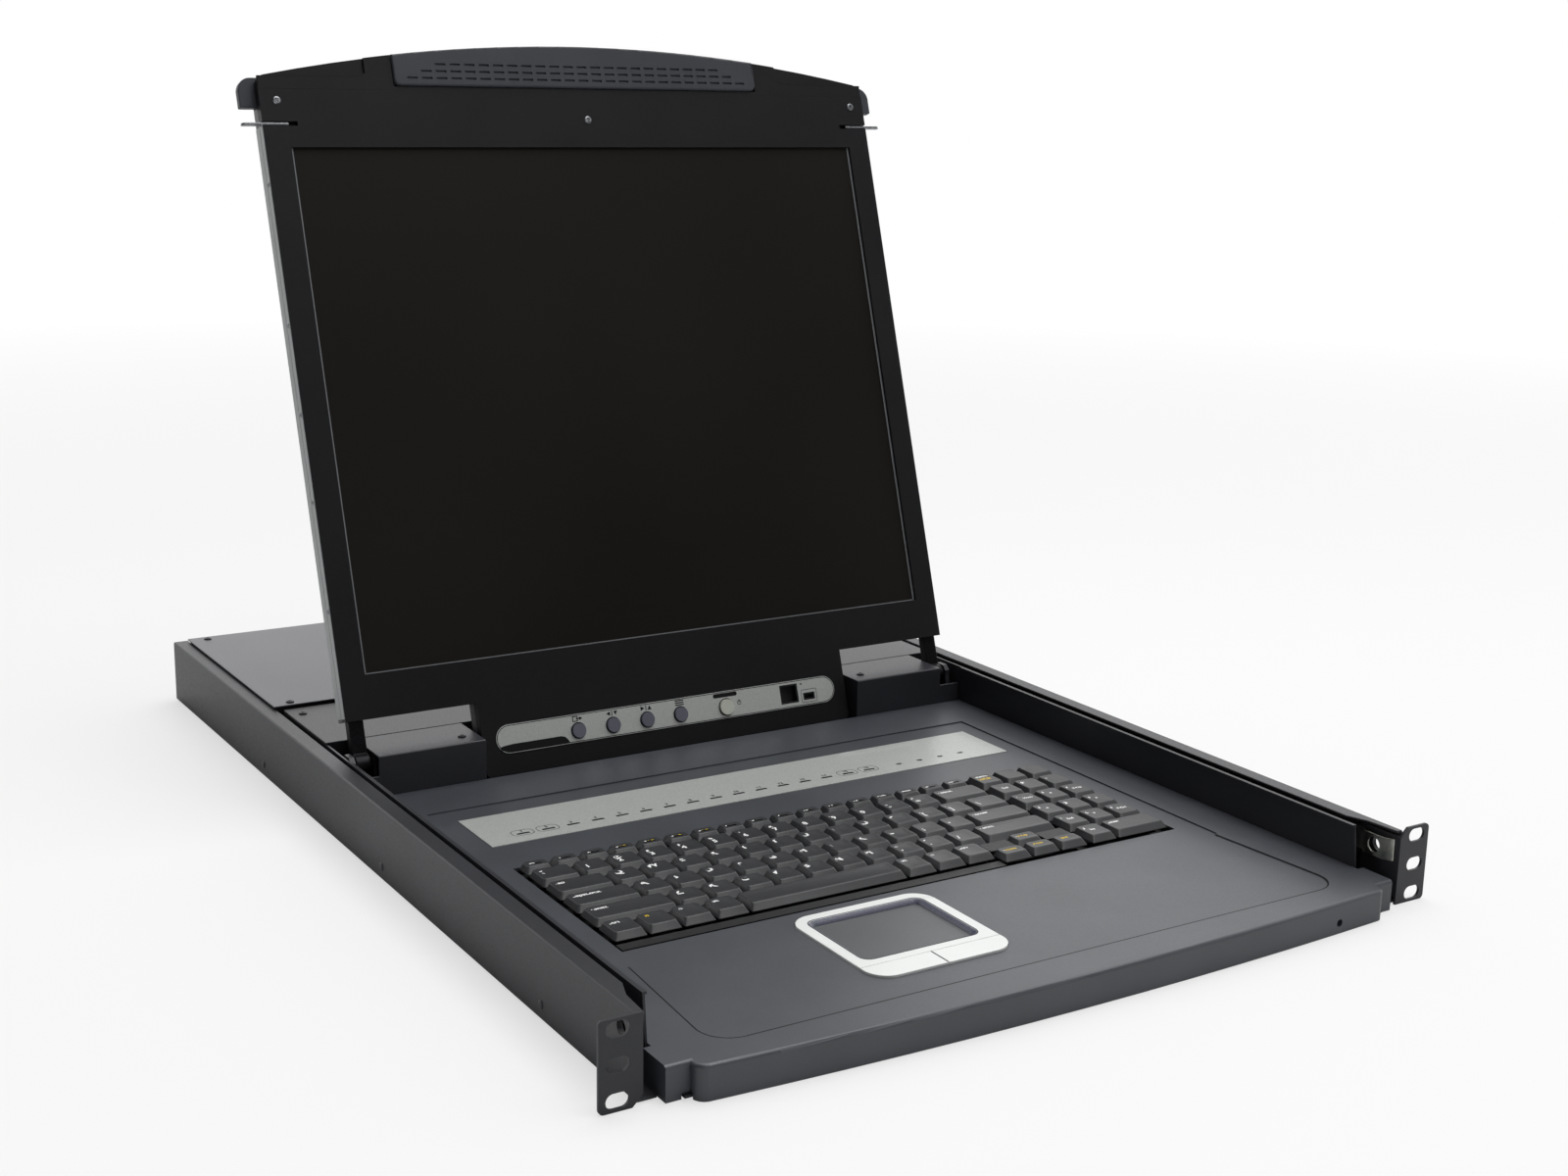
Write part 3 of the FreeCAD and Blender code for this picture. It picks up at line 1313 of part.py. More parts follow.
def round_lid_corners(body):
    round_edges(body, s.lid_corner, lambda e: runs_along(e, y_axis)
                and near(abs(e.BoundBox.Center.x), lid_half) and near(e.BoundBox.Center.z, lid_side))
    round_edges(body, s.tongue_round, lambda e: runs_along(e, y_axis)
                and near(abs(e.BoundBox.Center.x), s.tongue_half)
                and near(e.BoundBox.Center.z, -s.tongue_drop))


def make_lid_bezel():
    body = new_body("lid_bezel")
    pad(body, "XZ", lid_face, bezel_rear, lid_outline(0))
    round_lid_corners(body)
    w = s.bezel_wall
    # inside of the shell, and the screen opening
    pocket(body, "XZ", lid_face + w, bezel_rear + 1,
           [(-lid_half + w, s.shoulder + w), (-s.tongue_half + w, s.shoulder + w),
            (-s.tongue_half + w, -s.tongue_drop + w), (s.tongue_half - w, -s.tongue_drop + w),
            (s.tongue_half - w, s.shoulder + w), (lid_half - w, s.shoulder + w),
            (lid_half - w, tab_line - s.tab_slot / 2 - w), (-lid_half + w, tab_line - s.tab_slot / 2 - w)])
    pocket(body, "XZ", lid_face - 1, lid_face + w + 1,
           box_outline(-screen_half, screen_half, screen_bottom, screen_bottom + s.screen_high))
    # room for the handle grip
    pocket(body, "XZ", lid_face - 1, bezel_rear + 1, grip_outline(s.seam_gap))
    # bevelled brow at both sides of the grip
    for side in (-1, 1):
        pocket(body, "XZ", lid_face - 1, lid_face + s.brow_deep, [
            (side * (lid_half + 5), brow_line), (side * (s.brow_inner + 12), brow_line),
            (side * s.brow_inner, brow_line + 8), (side * s.brow_inner, lid_crown + 5),
            (side * (lid_half + 5), lid_crown + 5)])
    # seat of the control strip, holes for its buttons and sockets
    pocket(body, "XZ", lid_face - 1, lid_face + s.osd_sink,
           slot_outline(0, s.osd_middle, s.osd_half * 2 + s.seam_gap * 2, s.osd_high + s.seam_gap * 2))
    pocket(body, "XZ", lid_face, lid_face + w + 1, *service_openings(0), circles=control_buttons(s.press_gap))
    # slots for the latch tabs, notches for the hinge arms
    half = s.tab_slot / 2
    slots = []
    for side in (-1, 1):
        slots.append(box_outline(side * (tab_inner - s.catch_travel - 1), side * (lid_half + 1),
                                 tab_line - half, tab_line + half))
    pocket(body, "XZ", lid_face - 1, lid_face + 0.4 + s.tab_wide + 0.4, *slots)
    pocket(body, "XZ", -s.arm_thick / 4 - s.seam_gap, bezel_rear + 1, *arm_notches(s.seam_gap))
    return keep(body, "lid_bezel", lid_frame)


def make_lid_back_cover():
    body = new_body("lid_back_cover")
    gap = 0
    pad(body, "XZ", bezel_rear + gap, lid_rear, lid_outline(0))
    round_lid_corners(body)
    w = s.back_wall
    top = catch_bottom - 3
    pocket(body, "XZ", bezel_rear - 1, lid_rear - w,
           [(-lid_half + w, s.shoulder + w), (-s.tongue_half + w, s.shoulder + w),
            (-s.tongue_half + w, -s.tongue_drop + w), (s.tongue_half - w, -s.tongue_drop + w),
            (s.tongue_half - w, s.shoulder + w), (lid_half - w, s.shoulder + w),
            (lid_half - w, top), (-lid_half + w, top)])
    pocket(body, "XZ", bezel_rear - 1, lid_rear + 1, grip_outline(s.seam_gap))
    for side in (-1, 1):
        pocket(body, "XZ", bezel_rear - 1, s.catch_front + s.catch_thick + s.seam_gap,
               box_outline(side * (catch_inner - s.catch_travel - s.seam_gap), side * (lid_half + 5),
                           catch_bottom - s.seam_gap, lid_crown + 5))
    pocket(body, "XZ", bezel_rear - 1, s.arm_thick * 3 / 4 + s.seam_gap, *arm_notches(s.seam_gap))
    # embossed field on the back
    pocket(body, "XZ", lid_rear - 0.5, lid_rear + 1,
           box_outline(-screen_half, screen_half, screen_bottom, screen_bottom + s.screen_high))
    return keep(body, "lid_back_cover", lid_frame)


def make_lcd_panel():
    body = new_body("lcd_panel")
    lap = s.screen_lap
    face = lid_face + s.bezel_wall
    half = screen_half + lap
    low, high = screen_bottom - lap, screen_bottom + s.screen_high + lap
    pad(body, "XZ", face, face + s.screen_thick, box_outline(-half, half, low, high))
    return keep(body, "lcd_panel", lid_frame)


def make_control_board():
    front = bezel_rear + 0.6
    things = [block(-s.osd_half + 4, s.osd_half - 4, front, front + s.board_thick,
                    -s.tongue_drop + s.bezel_wall + 1, s.osd_middle + s.osd_high / 2)]
    for x, z, radius in control_buttons(0):
        half = 2.0
        things.append(block(x - half, x + half, -0.2, front, z - half, z + half))
    return keep(join(things), "lid_control_board", lid_frame)


def make_osd_strip():
    body = new_body("osd_strip")
    rear = lid_face + s.osd_sink
    pad(body, "XZ", rear - s.osd_thick, rear, slot_outline(0, s.osd_middle, s.osd_half * 2, s.osd_high))
    pocket(body, "XZ", rear - s.osd_thick - 1, rear + 1, *service_openings(0),
           circles=control_buttons(s.press_gap))
    return keep(body, "osd_strip", lid_frame)


def make_control_button(label, x, radius):
    front = lid_face + s.osd_sink - s.osd_thick - s.osd_button_proud
    body = new_body(label)
    pad(body, "XZ", front, front + s.osd_button_long, circles=[(x, s.osd_button_line, radius)])
    return keep(body, label, lid_frame)


def make_control_buttons():
    for step in range(4):
        make_control_button("osd_button_%d" % (step + 1), s.osd_button_start + step * s.osd_button_pitch,
                            s.osd_button_radius)
    make_control_button("lcd_power_button", s.power_button_x, s.power_button_radius)


def make_service_sockets():
    front = lid_face + s.osd_sink - s.osd_thick + 0.2
    rear = front + s.socket_deep
    wall = as_size(1.0)
    things = []
    for x, z, wide, high in ((s.jack_x, s.jack_z, s.jack_wide, s.jack_high),
                             (s.port_x, s.port_z, s.port_wide, s.port_high)):
        gap = 0.1
        shell = block(x - wide / 2 + gap, x + wide / 2 - gap, front, rear, z - high / 2 + gap, z + high / 2 - gap)
        hollow = block(x - wide / 2 + wall, x + wide / 2 - wall, front - 1, rear - wall,
                       z - high / 2 + wall, z + high / 2 - wall)
        things.append(cut(shell, hollow))
    return keep(group(things), "service_sockets", lid_frame)


# Handle grip: a proud bar along the middle of the lid's arched top, with dash perforations
def make_handle_grip():
    body = new_body("grip_bar")
    front = lid_face - s.grip_proud
    half = s.grip_half
    rise = lid_crown - lid_side
    crown = bow_radius(lid_half, rise)
    corner_rise = lid_crown - half * half / (2 * crown)
    pad(body, "XZ", front, lid_rear, [
        (-half, grip_bottom), (half, grip_bottom), (half, corner_rise, crown), (-half, corner_rise)])
    round_edges(body, s.grip_round, lambda e: runs_along(e, y_axis) and near(e.BoundBox.Center.z, grip_bottom))
    round_edges(body, s.grip_edge, lambda e: near(e.BoundBox.Center.y, front) and e.BoundBox.YLength < 0.01)
    slots = []
    for line, count in enumerate((25, 23, 21)):
        z = vent_line + line * s.vent_rise
        for step in range(count):
            x = (step - (count - 1) / 2) * s.vent_pitch
            slots.append(block(x - s.vent_wide / 2, x + s.vent_wide / 2, front - 1, front + s.vent_deep,
                               z - s.vent_high / 2, z + s.vent_high / 2))
    return keep(cut(body, group(slots)), "handle_grip", lid_frame)


# Release catches and latch tabs at the lid's upper corners
def make_release_catch(name, side):
    body = new_body("release_catch_" + name)
    front = s.catch_front
    pad(body, "XZ", front, front + s.catch_thick,
        box_outline(side * catch_inner, side * catch_outer, catch_bottom, catch_top))
    round_edges(body, s.catch_round, lambda e: runs_along(e, y_axis)
                and near(abs(e.BoundBox.Center.x), catch_outer) and near(e.BoundBox.Center.z, catch_top))
    return keep(body, "release_catch_" + name, lid_frame)


def make_latch_tab(name, side):
    body = new_body("latch_tab_" + name)
    front = lid_face + 0.4
    rear = front + s.tab_wide
    half = s.tab_thick / 2
    # the tab's end is bevelled on the side that meets the strike first
    pad(body, "XY", tab_line - half, tab_line + half, [
        (side * tab_inner, front), (side * (tab_outer - 2), front), (side * tab_outer, front + 1.5),
        (side * tab_outer, rear), (side * tab_inner, rear)])
    return keep(body, "latch_tab_" + name, lid_frame)


# Hinge arms: a barrel on the pin and a flat leg up into the lid
def make_hinge_arm(name, side):
    body = new_body("hinge_arm_" + name)
    inner, outer = arm_inner, arm_inner + s.arm_wide
    t = s.arm_thick
    pad(body, "YZ", side * inner, side * outer, circles=[(0, 0, s.arm_radius)])
    pad(body, "YZ", side * inner, side * outer, [
        (-t * 0.25, 0), (t * 0.75, 0), (t * 0.75, arm_reach), (-t * 0.25, arm_reach)])
    pocket(body, "YZ", side * (inner - 1), side * (outer + 1), circles=[(0, 0, s.hinge_pin + s.hinge_fit)])
    return keep(body, "hinge_arm_" + name, lid_frame)


for name, side in sides:
    make_side_channel(name, side)
    make_rack_ear(name, side)
    make_hinge_cover(name, side)
    make_hinge_bracket(name, side)
    make_hinge_arm(name, side)
    make_release_catch(name, side)
    make_latch_tab(name, side)
make_latch_strikes()
make_slides()
make_rear_housing()
make_rear_top_cover()
make_rear_panel()
make_power_entry()
make_power_rocker()
make_station_sockets()
make_main_board()
make_power_supply()
make_base_tray()
make_keyboard_deck()
make_rear_deck_plate()
make_keyboard_plate()
make_keys()
make_touchpad()
make_indicator_strip()
make_controller_board()
make_lid_bezel()
make_lid_back_cover()
make_lcd_panel()
make_control_board()
make_osd_strip()
make_control_buttons()
make_service_sockets()
make_handle_grip()

document.recompute()

# Nothing is written until every object is sound
for thing in document.Objects:
    if "Invalid" in thing.State or "Error" in thing.State:
        raise ValueError("%s failed: %s" % (thing.Label, thing.State))
for thing in sub_parts:
    if thing.Shape.isNull() or not thing.Shape.isValid() or not thing.Shape.Solids:
        raise ValueError("bad shape: " + thing.Label)

os.makedirs("parts", exist_ok=True)
for thing in sub_parts:
    thing.Shape.exportStep("parts/%s.step" % thing.Label)
print("sub-parts written:", len(sub_parts))
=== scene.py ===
import json
import math
import bmesh
import bpy
from mathutils import Matrix, Vector


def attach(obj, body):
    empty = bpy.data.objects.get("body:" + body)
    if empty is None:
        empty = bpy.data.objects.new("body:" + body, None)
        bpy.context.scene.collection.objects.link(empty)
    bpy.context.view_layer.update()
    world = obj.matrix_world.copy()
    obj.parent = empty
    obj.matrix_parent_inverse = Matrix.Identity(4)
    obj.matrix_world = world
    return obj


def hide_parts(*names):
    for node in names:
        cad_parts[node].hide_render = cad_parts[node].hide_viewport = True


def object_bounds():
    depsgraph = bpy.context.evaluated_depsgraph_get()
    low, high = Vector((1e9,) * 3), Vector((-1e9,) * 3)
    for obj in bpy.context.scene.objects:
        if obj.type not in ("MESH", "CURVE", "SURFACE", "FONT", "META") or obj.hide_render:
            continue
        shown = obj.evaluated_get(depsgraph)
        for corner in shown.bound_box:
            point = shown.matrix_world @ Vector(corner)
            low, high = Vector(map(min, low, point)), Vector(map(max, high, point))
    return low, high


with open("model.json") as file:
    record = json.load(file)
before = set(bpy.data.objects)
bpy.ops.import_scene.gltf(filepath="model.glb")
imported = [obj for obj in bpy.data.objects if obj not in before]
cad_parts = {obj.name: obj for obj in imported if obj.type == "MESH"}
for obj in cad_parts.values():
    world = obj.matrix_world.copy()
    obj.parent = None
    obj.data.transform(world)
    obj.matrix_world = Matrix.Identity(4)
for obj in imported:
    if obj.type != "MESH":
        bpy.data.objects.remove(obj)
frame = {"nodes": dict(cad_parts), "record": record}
nodes = frame["nodes"]
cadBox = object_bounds()
mm = 0.001
print("frame loaded:", len(nodes), "nodes")


# Camera: stands left of the drawer's front, and looks slightly down on it
cameraSet = {
    "eye": (-0.5914, -0.6955, 0.3883),
    "turn": 31.98,      # degrees to the right of straight ahead
    "dip": 13.54,       # degrees below the horizon
    "roll": 1.056,
    "lens": 48.03,      # mm
    "sensor": 36.0,
    "near": 0.01,
}


def makeCamera():
    turn = math.radians(cameraSet["turn"])
    dip = math.radians(cameraSet["dip"])
    roll = math.radians(cameraSet["roll"])
    ahead = Vector((math.sin(turn) * math.cos(dip), math.cos(turn) * math.cos(dip), -math.sin(dip)))
    level = Vector((math.cos(turn), -math.sin(turn), 0.0))
    above = level.cross(ahead)
    right = level * math.cos(roll) + above * math.sin(roll)
    up = above * math.cos(roll) - level * math.sin(roll)
    data = bpy.data.cameras.new("camera")
    data.lens = cameraSet["lens"]
    data.sensor_width = cameraSet["sensor"]
    data.clip_start = cameraSet["near"]
    camera = bpy.data.objects.new("camera", data)
    bpy.context.scene.collection.objects.link(camera)
    turned = Matrix((right, up, -ahead)).transposed().to_4x4()
    camera.matrix_world = Matrix.Translation(Vector(cameraSet["eye"])) @ turned
    bpy.context.scene.camera = camera


makeCamera()


# Material helpers
def hexColour(text):
    # sRGB hex to the linear numbers that a shader wants
    def linear(part):
        value = int(part, 16) / 255
        return value / 12.92 if value <= 0.04045 else ((value + 0.055) / 1.055) ** 2.4
    return (linear(text[1:3]), linear(text[3:5]), linear(text[5:7]), 1.0)


def addNode(tree, kind, settings=None, links=None):
    # settings hold its properties and constant inputs, links what feeds its other inputs
    node = tree.nodes.new(kind)
    for name, value in (settings or {}).items():
        if isinstance(name, int) or name in node.inputs:
            node.inputs[name].default_value = value
        else:
            setattr(node, name, value)
    for name, source in (links or {}).items():
        tree.links.new(source, node.inputs[name])
    return node


def newMaterial(name):
    material = bpy.data.materials.new(name)
    material.use_nodes = True
    material.node_tree.nodes.clear()
    return material, material.node_tree


def twoTones(tree, source, places, tones):
    # from one tone to the other between two values of a pattern
    share = addNode(tree, "ShaderNodeMapRange", {"From Min": places[0], "From Max": places[1]},
                    {"Value": source})
    tone = addNode(tree, "ShaderNodeMix", {"data_type": "RGBA", 6: tones[0], 7: tones[1]},
                   {0: share.outputs["Result"]})
    return tone.outputs[2]


def finishSurface(tree, colour, roughness, bump, settings):
    links = {"Base Color": colour, "Roughness": roughness}
    if bump is not None:
        links["Normal"] = bump
    shader = addNode(tree, "ShaderNodeBsdfPrincipled", settings, links)
    addNode(tree, "ShaderNodeOutputMaterial", None, {"Surface": shader.outputs["BSDF"]})


def grainedSurface(name, darkHex, lightHex, grainMm, blotchMm, roughLow, roughHigh, bumpMm, settings):
    # two close tones in soft blotches under a fine even grain, as moulded or sprayed surfaces have
    material, tree = newMaterial(name)
    place = {"Vector": addNode(tree, "ShaderNodeTexCoord").outputs["Object"]}
    blotch = addNode(tree, "ShaderNodeTexNoise", {"Scale": 1 / (blotchMm * mm), "Detail": 3.0}, place)
    grain = addNode(tree, "ShaderNodeTexNoise",
                    {"Scale": 1 / (grainMm * mm), "Detail": 2.0, "Roughness": 0.6}, place).outputs["Fac"]
    tone = addNode(tree, "ShaderNodeMix", {"data_type": "FLOAT", 0: 0.45},
                   {2: blotch.outputs["Fac"], 3: grain})
    colour = twoTones(tree, tone.outputs[0], (0.3, 0.7), (hexColour(darkHex), hexColour(lightHex)))
    rough = addNode(tree, "ShaderNodeMapRange",
                    {"From Min": 0.3, "From Max": 0.7, "To Min": roughLow, "To Max": roughHigh},
                    {"Value": grain})
    bump = addNode(tree, "ShaderNodeBump", {"Strength": 0.5, "Distance": bumpMm * mm}, {"Height": grain})
    finishSurface(tree, colour, rough.outputs["Result"], bump.outputs["Normal"], settings)
    return material


def powderCoat(name, darkHex, lightHex, sheen=0.4):
    # sprayed and baked powder: a fine orange-peel skin that breaks highlights into a soft sheen
    return grainedSurface(name, darkHex, lightHex, 0.9, 60, 0.34, 0.48, 0.06, {"Specular IOR Level": sheen})


def mouldedAbs(name, darkHex, lightHex, roughLow=0.42, roughHigh=0.56, sheen=0.35):
    # spark-eroded mould grain: dull, with an even sparkle of fine dots, drawn at 0.7 mm because the real
    # grain of about 0.2 mm wouldn't show
    return grainedSurface(name, darkHex, lightHex, 0.7, 45, roughLow, roughHigh, 0.05,
                          {"Specular IOR Level": sheen})


def speckledSurface(name, tones, spread, grainMm, detail, rough, settings, stretch=None):
    # one noise gives both the two close tones and the slight change of gloss between them
    material, tree = newMaterial(name)
    place = addNode(tree, "ShaderNodeTexCoord").outputs["Object"]
    if stretch is not None:
        place = addNode(tree, "ShaderNodeMapping", {"Scale": stretch}, {"Vector": place}).outputs["Vector"]
    noise = addNode(tree, "ShaderNodeTexNoise", {"Scale": 1 / (grainMm * mm), "Detail": detail},
                    {"Vector": place}).outputs["Fac"]
    gloss = addNode(tree, "ShaderNodeMapRange", {"To Min": rough[0], "To Max": rough[1]}, {"Value": noise})
    finishSurface(tree, twoTones(tree, noise, spread, tones), gloss.outputs["Result"], None, settings)
    return material


def zincPlate():
    # passivated zinc: pale metal with faint cloudy patches
    tones = hexColour("#8E9089"), hexColour("#BCBCB2")
    return speckledSurface("zincPlate", tones, (0.35, 0.65), 6.0, 4.0, (0.22, 0.4), {"Metallic": 1.0})


def blackenedSteel(name="blackenedSteel", darkHex="#191A1D", lightHex="#2B2C30"):
    # oiled black oxide: dark metal with a low streaked shine
    tones = hexColour(darkHex), hexColour(lightHex)
    return speckledSurface(name, tones, (0.3, 0.7), 1.5, 3.0, (0.3, 0.48), {"Metallic": 0.85})


def drawnSteel():
    # rolled slide sections, brushed along their length
    tones = hexColour("#6E7074"), hexColour("#9A9C9E")
    return speckledSurface("drawnSteel", tones, (0.3, 0.7), 0.8, 2.0, (0.25, 0.45), {"Metallic": 1.0},
                           (1.0, 0.03, 1.0))


def printedFoil():
    # silver-printed polyester overlay: pale metallic ink under a satin film, its flakes drawn coarser than
    # the real ones, or they wouldn't show
    tones = hexColour("#A9ACA9"), hexColour("#BEC1BD")
    return speckledSurface("printedFoil", tones, (0.3, 0.7), 0.6, 2.0, (0.34, 0.5),
                           {"Metallic": 0.25, "Coat Weight": 0.15})


def legendInk(name, hexText):
    # pad-printed ink: slightly worn at its grain, so it isn't quite even
    base = hexColour(hexText)
    worn = tuple(part * 0.86 for part in base[:3]) + (1.0,)
    return speckledSurface(name, (worn, base), (0.35, 0.6), 0.5, 2.0, (0.45, 0.6),
                           {"Specular IOR Level": 0.2})


def antiglareFilm():
    # a dead screen's matt polariser: nearly black with a warm tint and a wide, weak reflection
    material, tree = newMaterial("antiglareFilm")
    place = {"Vector": addNode(tree, "ShaderNodeTexCoord").outputs["Object"]}
    grit = addNode(tree, "ShaderNodeTexNoise", {"Scale": 1 / (0.5 * mm), "Detail": 1.0}, place).outputs["Fac"]
    cloud = addNode(tree, "ShaderNodeTexNoise", {"Scale": 1 / (160 * mm), "Detail": 1.0}, place).outputs["Fac"]
    colour = twoTones(tree, cloud, (0.3, 0.7), (hexColour("#100E0B"), hexColour("#161410")))
    rough = addNode(tree, "ShaderNodeMapRange", {"To Min": 0.42, "To Max": 0.52}, {"Value": grit})
    bump = addNode(tree, "ShaderNodeBump", {"Strength": 0.3, "Distance": 0.02 * mm}, {"Height": grit})
    finishSurface(tree, colour, rough.outputs["Result"], bump.outputs["Normal"],
                  {"Specular IOR Level": 0.12})
    return material


materials = {
    "coat": powderCoat("powderCoatOutside", "#27282B", "#333438", 0.35),
    "cover": powderCoat("powderCoatCover", "#404148", "#4F5057", 0.7),
    "drawerCoat": powderCoat("powderCoatDrawer", "#232428", "#2D2E33"),
    "deck": mouldedAbs("mouldedAbsDeck", "#373A3F", "#43464C", 0.36, 0.48, 0.6),
    "bezel": powderCoat("powderCoatBezel", "#141416", "#1B1B1D", 0.16),
    "lidBack": powderCoat("powderCoatLid", "#2B2C30", "#37383D", 0.6),
    "grip": mouldedAbs("mouldedAbsGrip", "#2A2C32", "#35373E"),
    "key": mouldedAbs("mouldedAbsKeys", "#2A2B2D", "#353638", 0.34, 0.44, 0.4),
    "plate": mouldedAbs("mouldedAbsPlate", "#0E0F10", "#16171A"),
    "white": mouldedAbs("mouldedAbsWhite", "#DADCDA", "#E6E8E6", 0.35, 0.45),
    # painted highlight: the lid's dark sides drawn pale, as they look when lit
    "side": powderCoat("paleCoatPaintedHighlight", "#8E9192", "#9FA2A2", 0.4),
    "rim": mouldedAbs("mouldedAbsRim", "#4C4E5E", "#5A5C6C", 0.25, 0.35, 0.6),
    "pad": mouldedAbs("touchPadFilm", "#46484A", "#505254", 0.36, 0.46, 0.6),
    "button": mouldedAbs("mouldedAbsButtons", "#5A5A66", "#676773", 0.35, 0.45),
    "powerButton": mouldedAbs("mouldedAbsPowerButton", "#B4B7AC", "#C2C5BA", 0.35, 0.45),
    "socket": mouldedAbs("mouldedNylonSocket", "#101012", "#1A1B1E"),
    "window": mouldedAbs("smokedWindows", "#101114", "#18191C", 0.2, 0.3),
    "zinc": zincPlate(),
    "black": blackenedSteel(),
    "cast": blackenedSteel("blackDieCasting", "#0E0E10", "#1A1A1D"),
    "slide": drawnSteel(),
    "foil": printedFoil(),
    "screen": antiglareFilm(),
    "board": mouldedAbs("solderMask", "#14532F", "#1B6138", 0.25, 0.35),
    "inkWhite": legendInk("legendInkWhite", "#F0F1F0"),
    "inkYellow": legendInk("legendInkYellow", "#E0BE2C"),
    # dark ink for print, also used for painted shade: the groove round the palm rest, the ring round the
    # touchpad and the line under the brow
    "inkDark": legendInk("legendInkAndPaintedShade", "#0B0B0D"),
    # the grey is a painted highlight: the lit edge of the screen's opening
    "inkGrey": legendInk("paintedHighlightGrey", "#77797C"),
}
print("materials made:", len(materials))

slotFinishes = {
    "coated_steel": "coat", "cover_steel": "cover", "drawer_steel": "drawerCoat",
    "hinge_cover_steel": "drawerCoat", "zinc_plate": "zinc", "tab_steel": "slide",
    "slide_steel": "slide", "deck_plastic": "deck", "key_plastic": "key", "plate_plastic": "plate",
    "white_plastic": "white", "pad_plastic": "pad", "silver_foil": "foil", "lamp_window": "window",
    "bezel_plastic": "bezel", "lid_back_plastic": "lidBack", "grip_plastic": "grip",
    "screen_surface": "screen", "button_plastic": "button", "power_button_plastic": "powerButton",
    "socket_plastic": "socket", "cast_metal": "cast", "circuit_board": "board",
    "supply_steel": "slide", "socket_metal": "zinc", "inlet_plastic": "socket",
    "rocker_plastic": "socket",
}
nodeSlots = {entry["node"]: entry["material_slot"] for entry in frame["record"]["subparts"]}
nodeBodies = {name: body for body, names in frame["record"]["behaviour"]["bodies"].items() for name in names}

for name, node in nodes.items():
    node.data.materials.clear()
    node.data.materials.append(materials[slotFinishes[nodeSlots[name]]])
print("finishes given to the frame's nodes")


# Mesh helpers
def linkMesh(name, mesh, material):
    piece = bpy.data.objects.new(name, mesh)
    bpy.context.scene.collection.objects.link(piece)
    if material is not None:
        mesh.materials.clear()
        mesh.materials.append(material)
    return piece


def bakeModifiers(piece):
    # the evaluated mesh takes the place of the live modifiers
    depsgraph = bpy.context.evaluated_depsgraph_get()
    baked = bpy.data.meshes.new_from_object(piece.evaluated_get(depsgraph))
    piece.modifiers.clear()
    piece.data = baked


bendSet = {"join": 1e-6, "flat": 0.5, "sharp": 40, "segments": 2}      # metres, degrees, degrees


def softenedCopy(nodeName, width):
    # the node's own shape with its sharp bends rounded, as folded sheet and mouldings are
    mesh = nodes[nodeName].data.copy()
    shape = bmesh.new()
    shape.from_mesh(mesh)
    bmesh.ops.remove_doubles(shape, verts=shape.verts, dist=bendSet["join"])
    bmesh.ops.dissolve_limit(shape, angle_limit=math.radians(bendSet["flat"]), verts=shape.verts,
                             edges=shape.edges)
    shape.to_mesh(mesh)
    shape.free()
    piece = linkMesh(nodeName + "_soft", mesh, nodes[nodeName].data.materials[0])
    bevel = piece.modifiers.new("bend", "BEVEL")
    bevel.width = width * mm
    bevel.segments = bendSet["segments"]
    bevel.limit_method = "ANGLE"
    bevel.angle_limit = math.radians(bendSet["sharp"])
    bevel.use_clamp_overlap = True
    even = piece.modifiers.new("even", "WEIGHTED_NORMAL")
    even.weight = 100
    even.keep_sharp = True
    for face in mesh.polygons:
        face.use_smooth = True
    bakeModifiers(piece)
    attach(piece, nodeBodies[nodeName])
    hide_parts(nodeName)


# Folded sheet and mouldings get their small radii, in mm
softEdges = {
    "side_channel_left": 0.4, "side_channel_right": 0.4, "rack_ear_left": 0.35, "rack_ear_right": 0.35,
    "rear_top_cover": 0.4, "rear_panel": 0.3, "base_tray": 0.4, "keyboard_deck": 0.25,
    "hinge_cover_left": 0.5, "hinge_cover_right": 0.5, "rear_deck_plate": 0.5, "lid_bezel": 0.5,
    "lid_back_cover": 0.6, "handle_grip": 0.4, "release_catch_left": 0.6, "release_catch_right": 0.6,
    "touchpad_frame": 0.4, "touchpad_button_left": 0.4, "touchpad_button_right": 0.4,
    "latch_strikes": 0.2, "latch_tab_left": 0.3, "latch_tab_right": 0.3, "power_entry_module": 0.6,
    "power_rocker": 0.4, "hinge_arm_left": 0.8, "hinge_arm_right": 0.8, "osd_strip": 0.2,
}
for nodeName, width in softEdges.items():
    softenedCopy(nodeName, width)
print("edges softened:", len(softEdges))


def newGeometryTree(name, inputs):
    tree = bpy.data.node_groups.new(name, "GeometryNodeTree")
    tree.interface.new_socket("Geometry", in_out="INPUT", socket_type="NodeSocketGeometry")
    tree.interface.new_socket("Geometry", in_out="OUTPUT", socket_type="NodeSocketGeometry")
    sockets = {}
    for label, kind in inputs:
        sockets[label] = tree.interface.new_socket(label, in_out="INPUT", socket_type=kind).identifier
    return tree, sockets


def pointMesh(name, places, attribute, vectors):
    # loose points that carry one vector each
    mesh = bpy.data.meshes.new(name)
    mesh.from_pydata(places, [], [])
    layer = mesh.attributes.new(attribute, "FLOAT_VECTOR", "POINT")
    for index, vector in enumerate(vectors):
        layer.data[index].vector = vector
    return mesh


# Places on the lid, in mm across, behind and up from the hinge axis
lidSet = {"axis": (0.0, 381.0, 11.0), "lean": 17.8, "face": -4.7, "half": 205.0}
lidTurn = (Matrix.Translation(Vector(lidSet["axis"]) * mm)
           @ Matrix.Rotation(-math.radians(lidSet["lean"]), 4, "X") @ Matrix.Scale(mm, 4))
restTurn = Matrix.Scale(mm, 4)


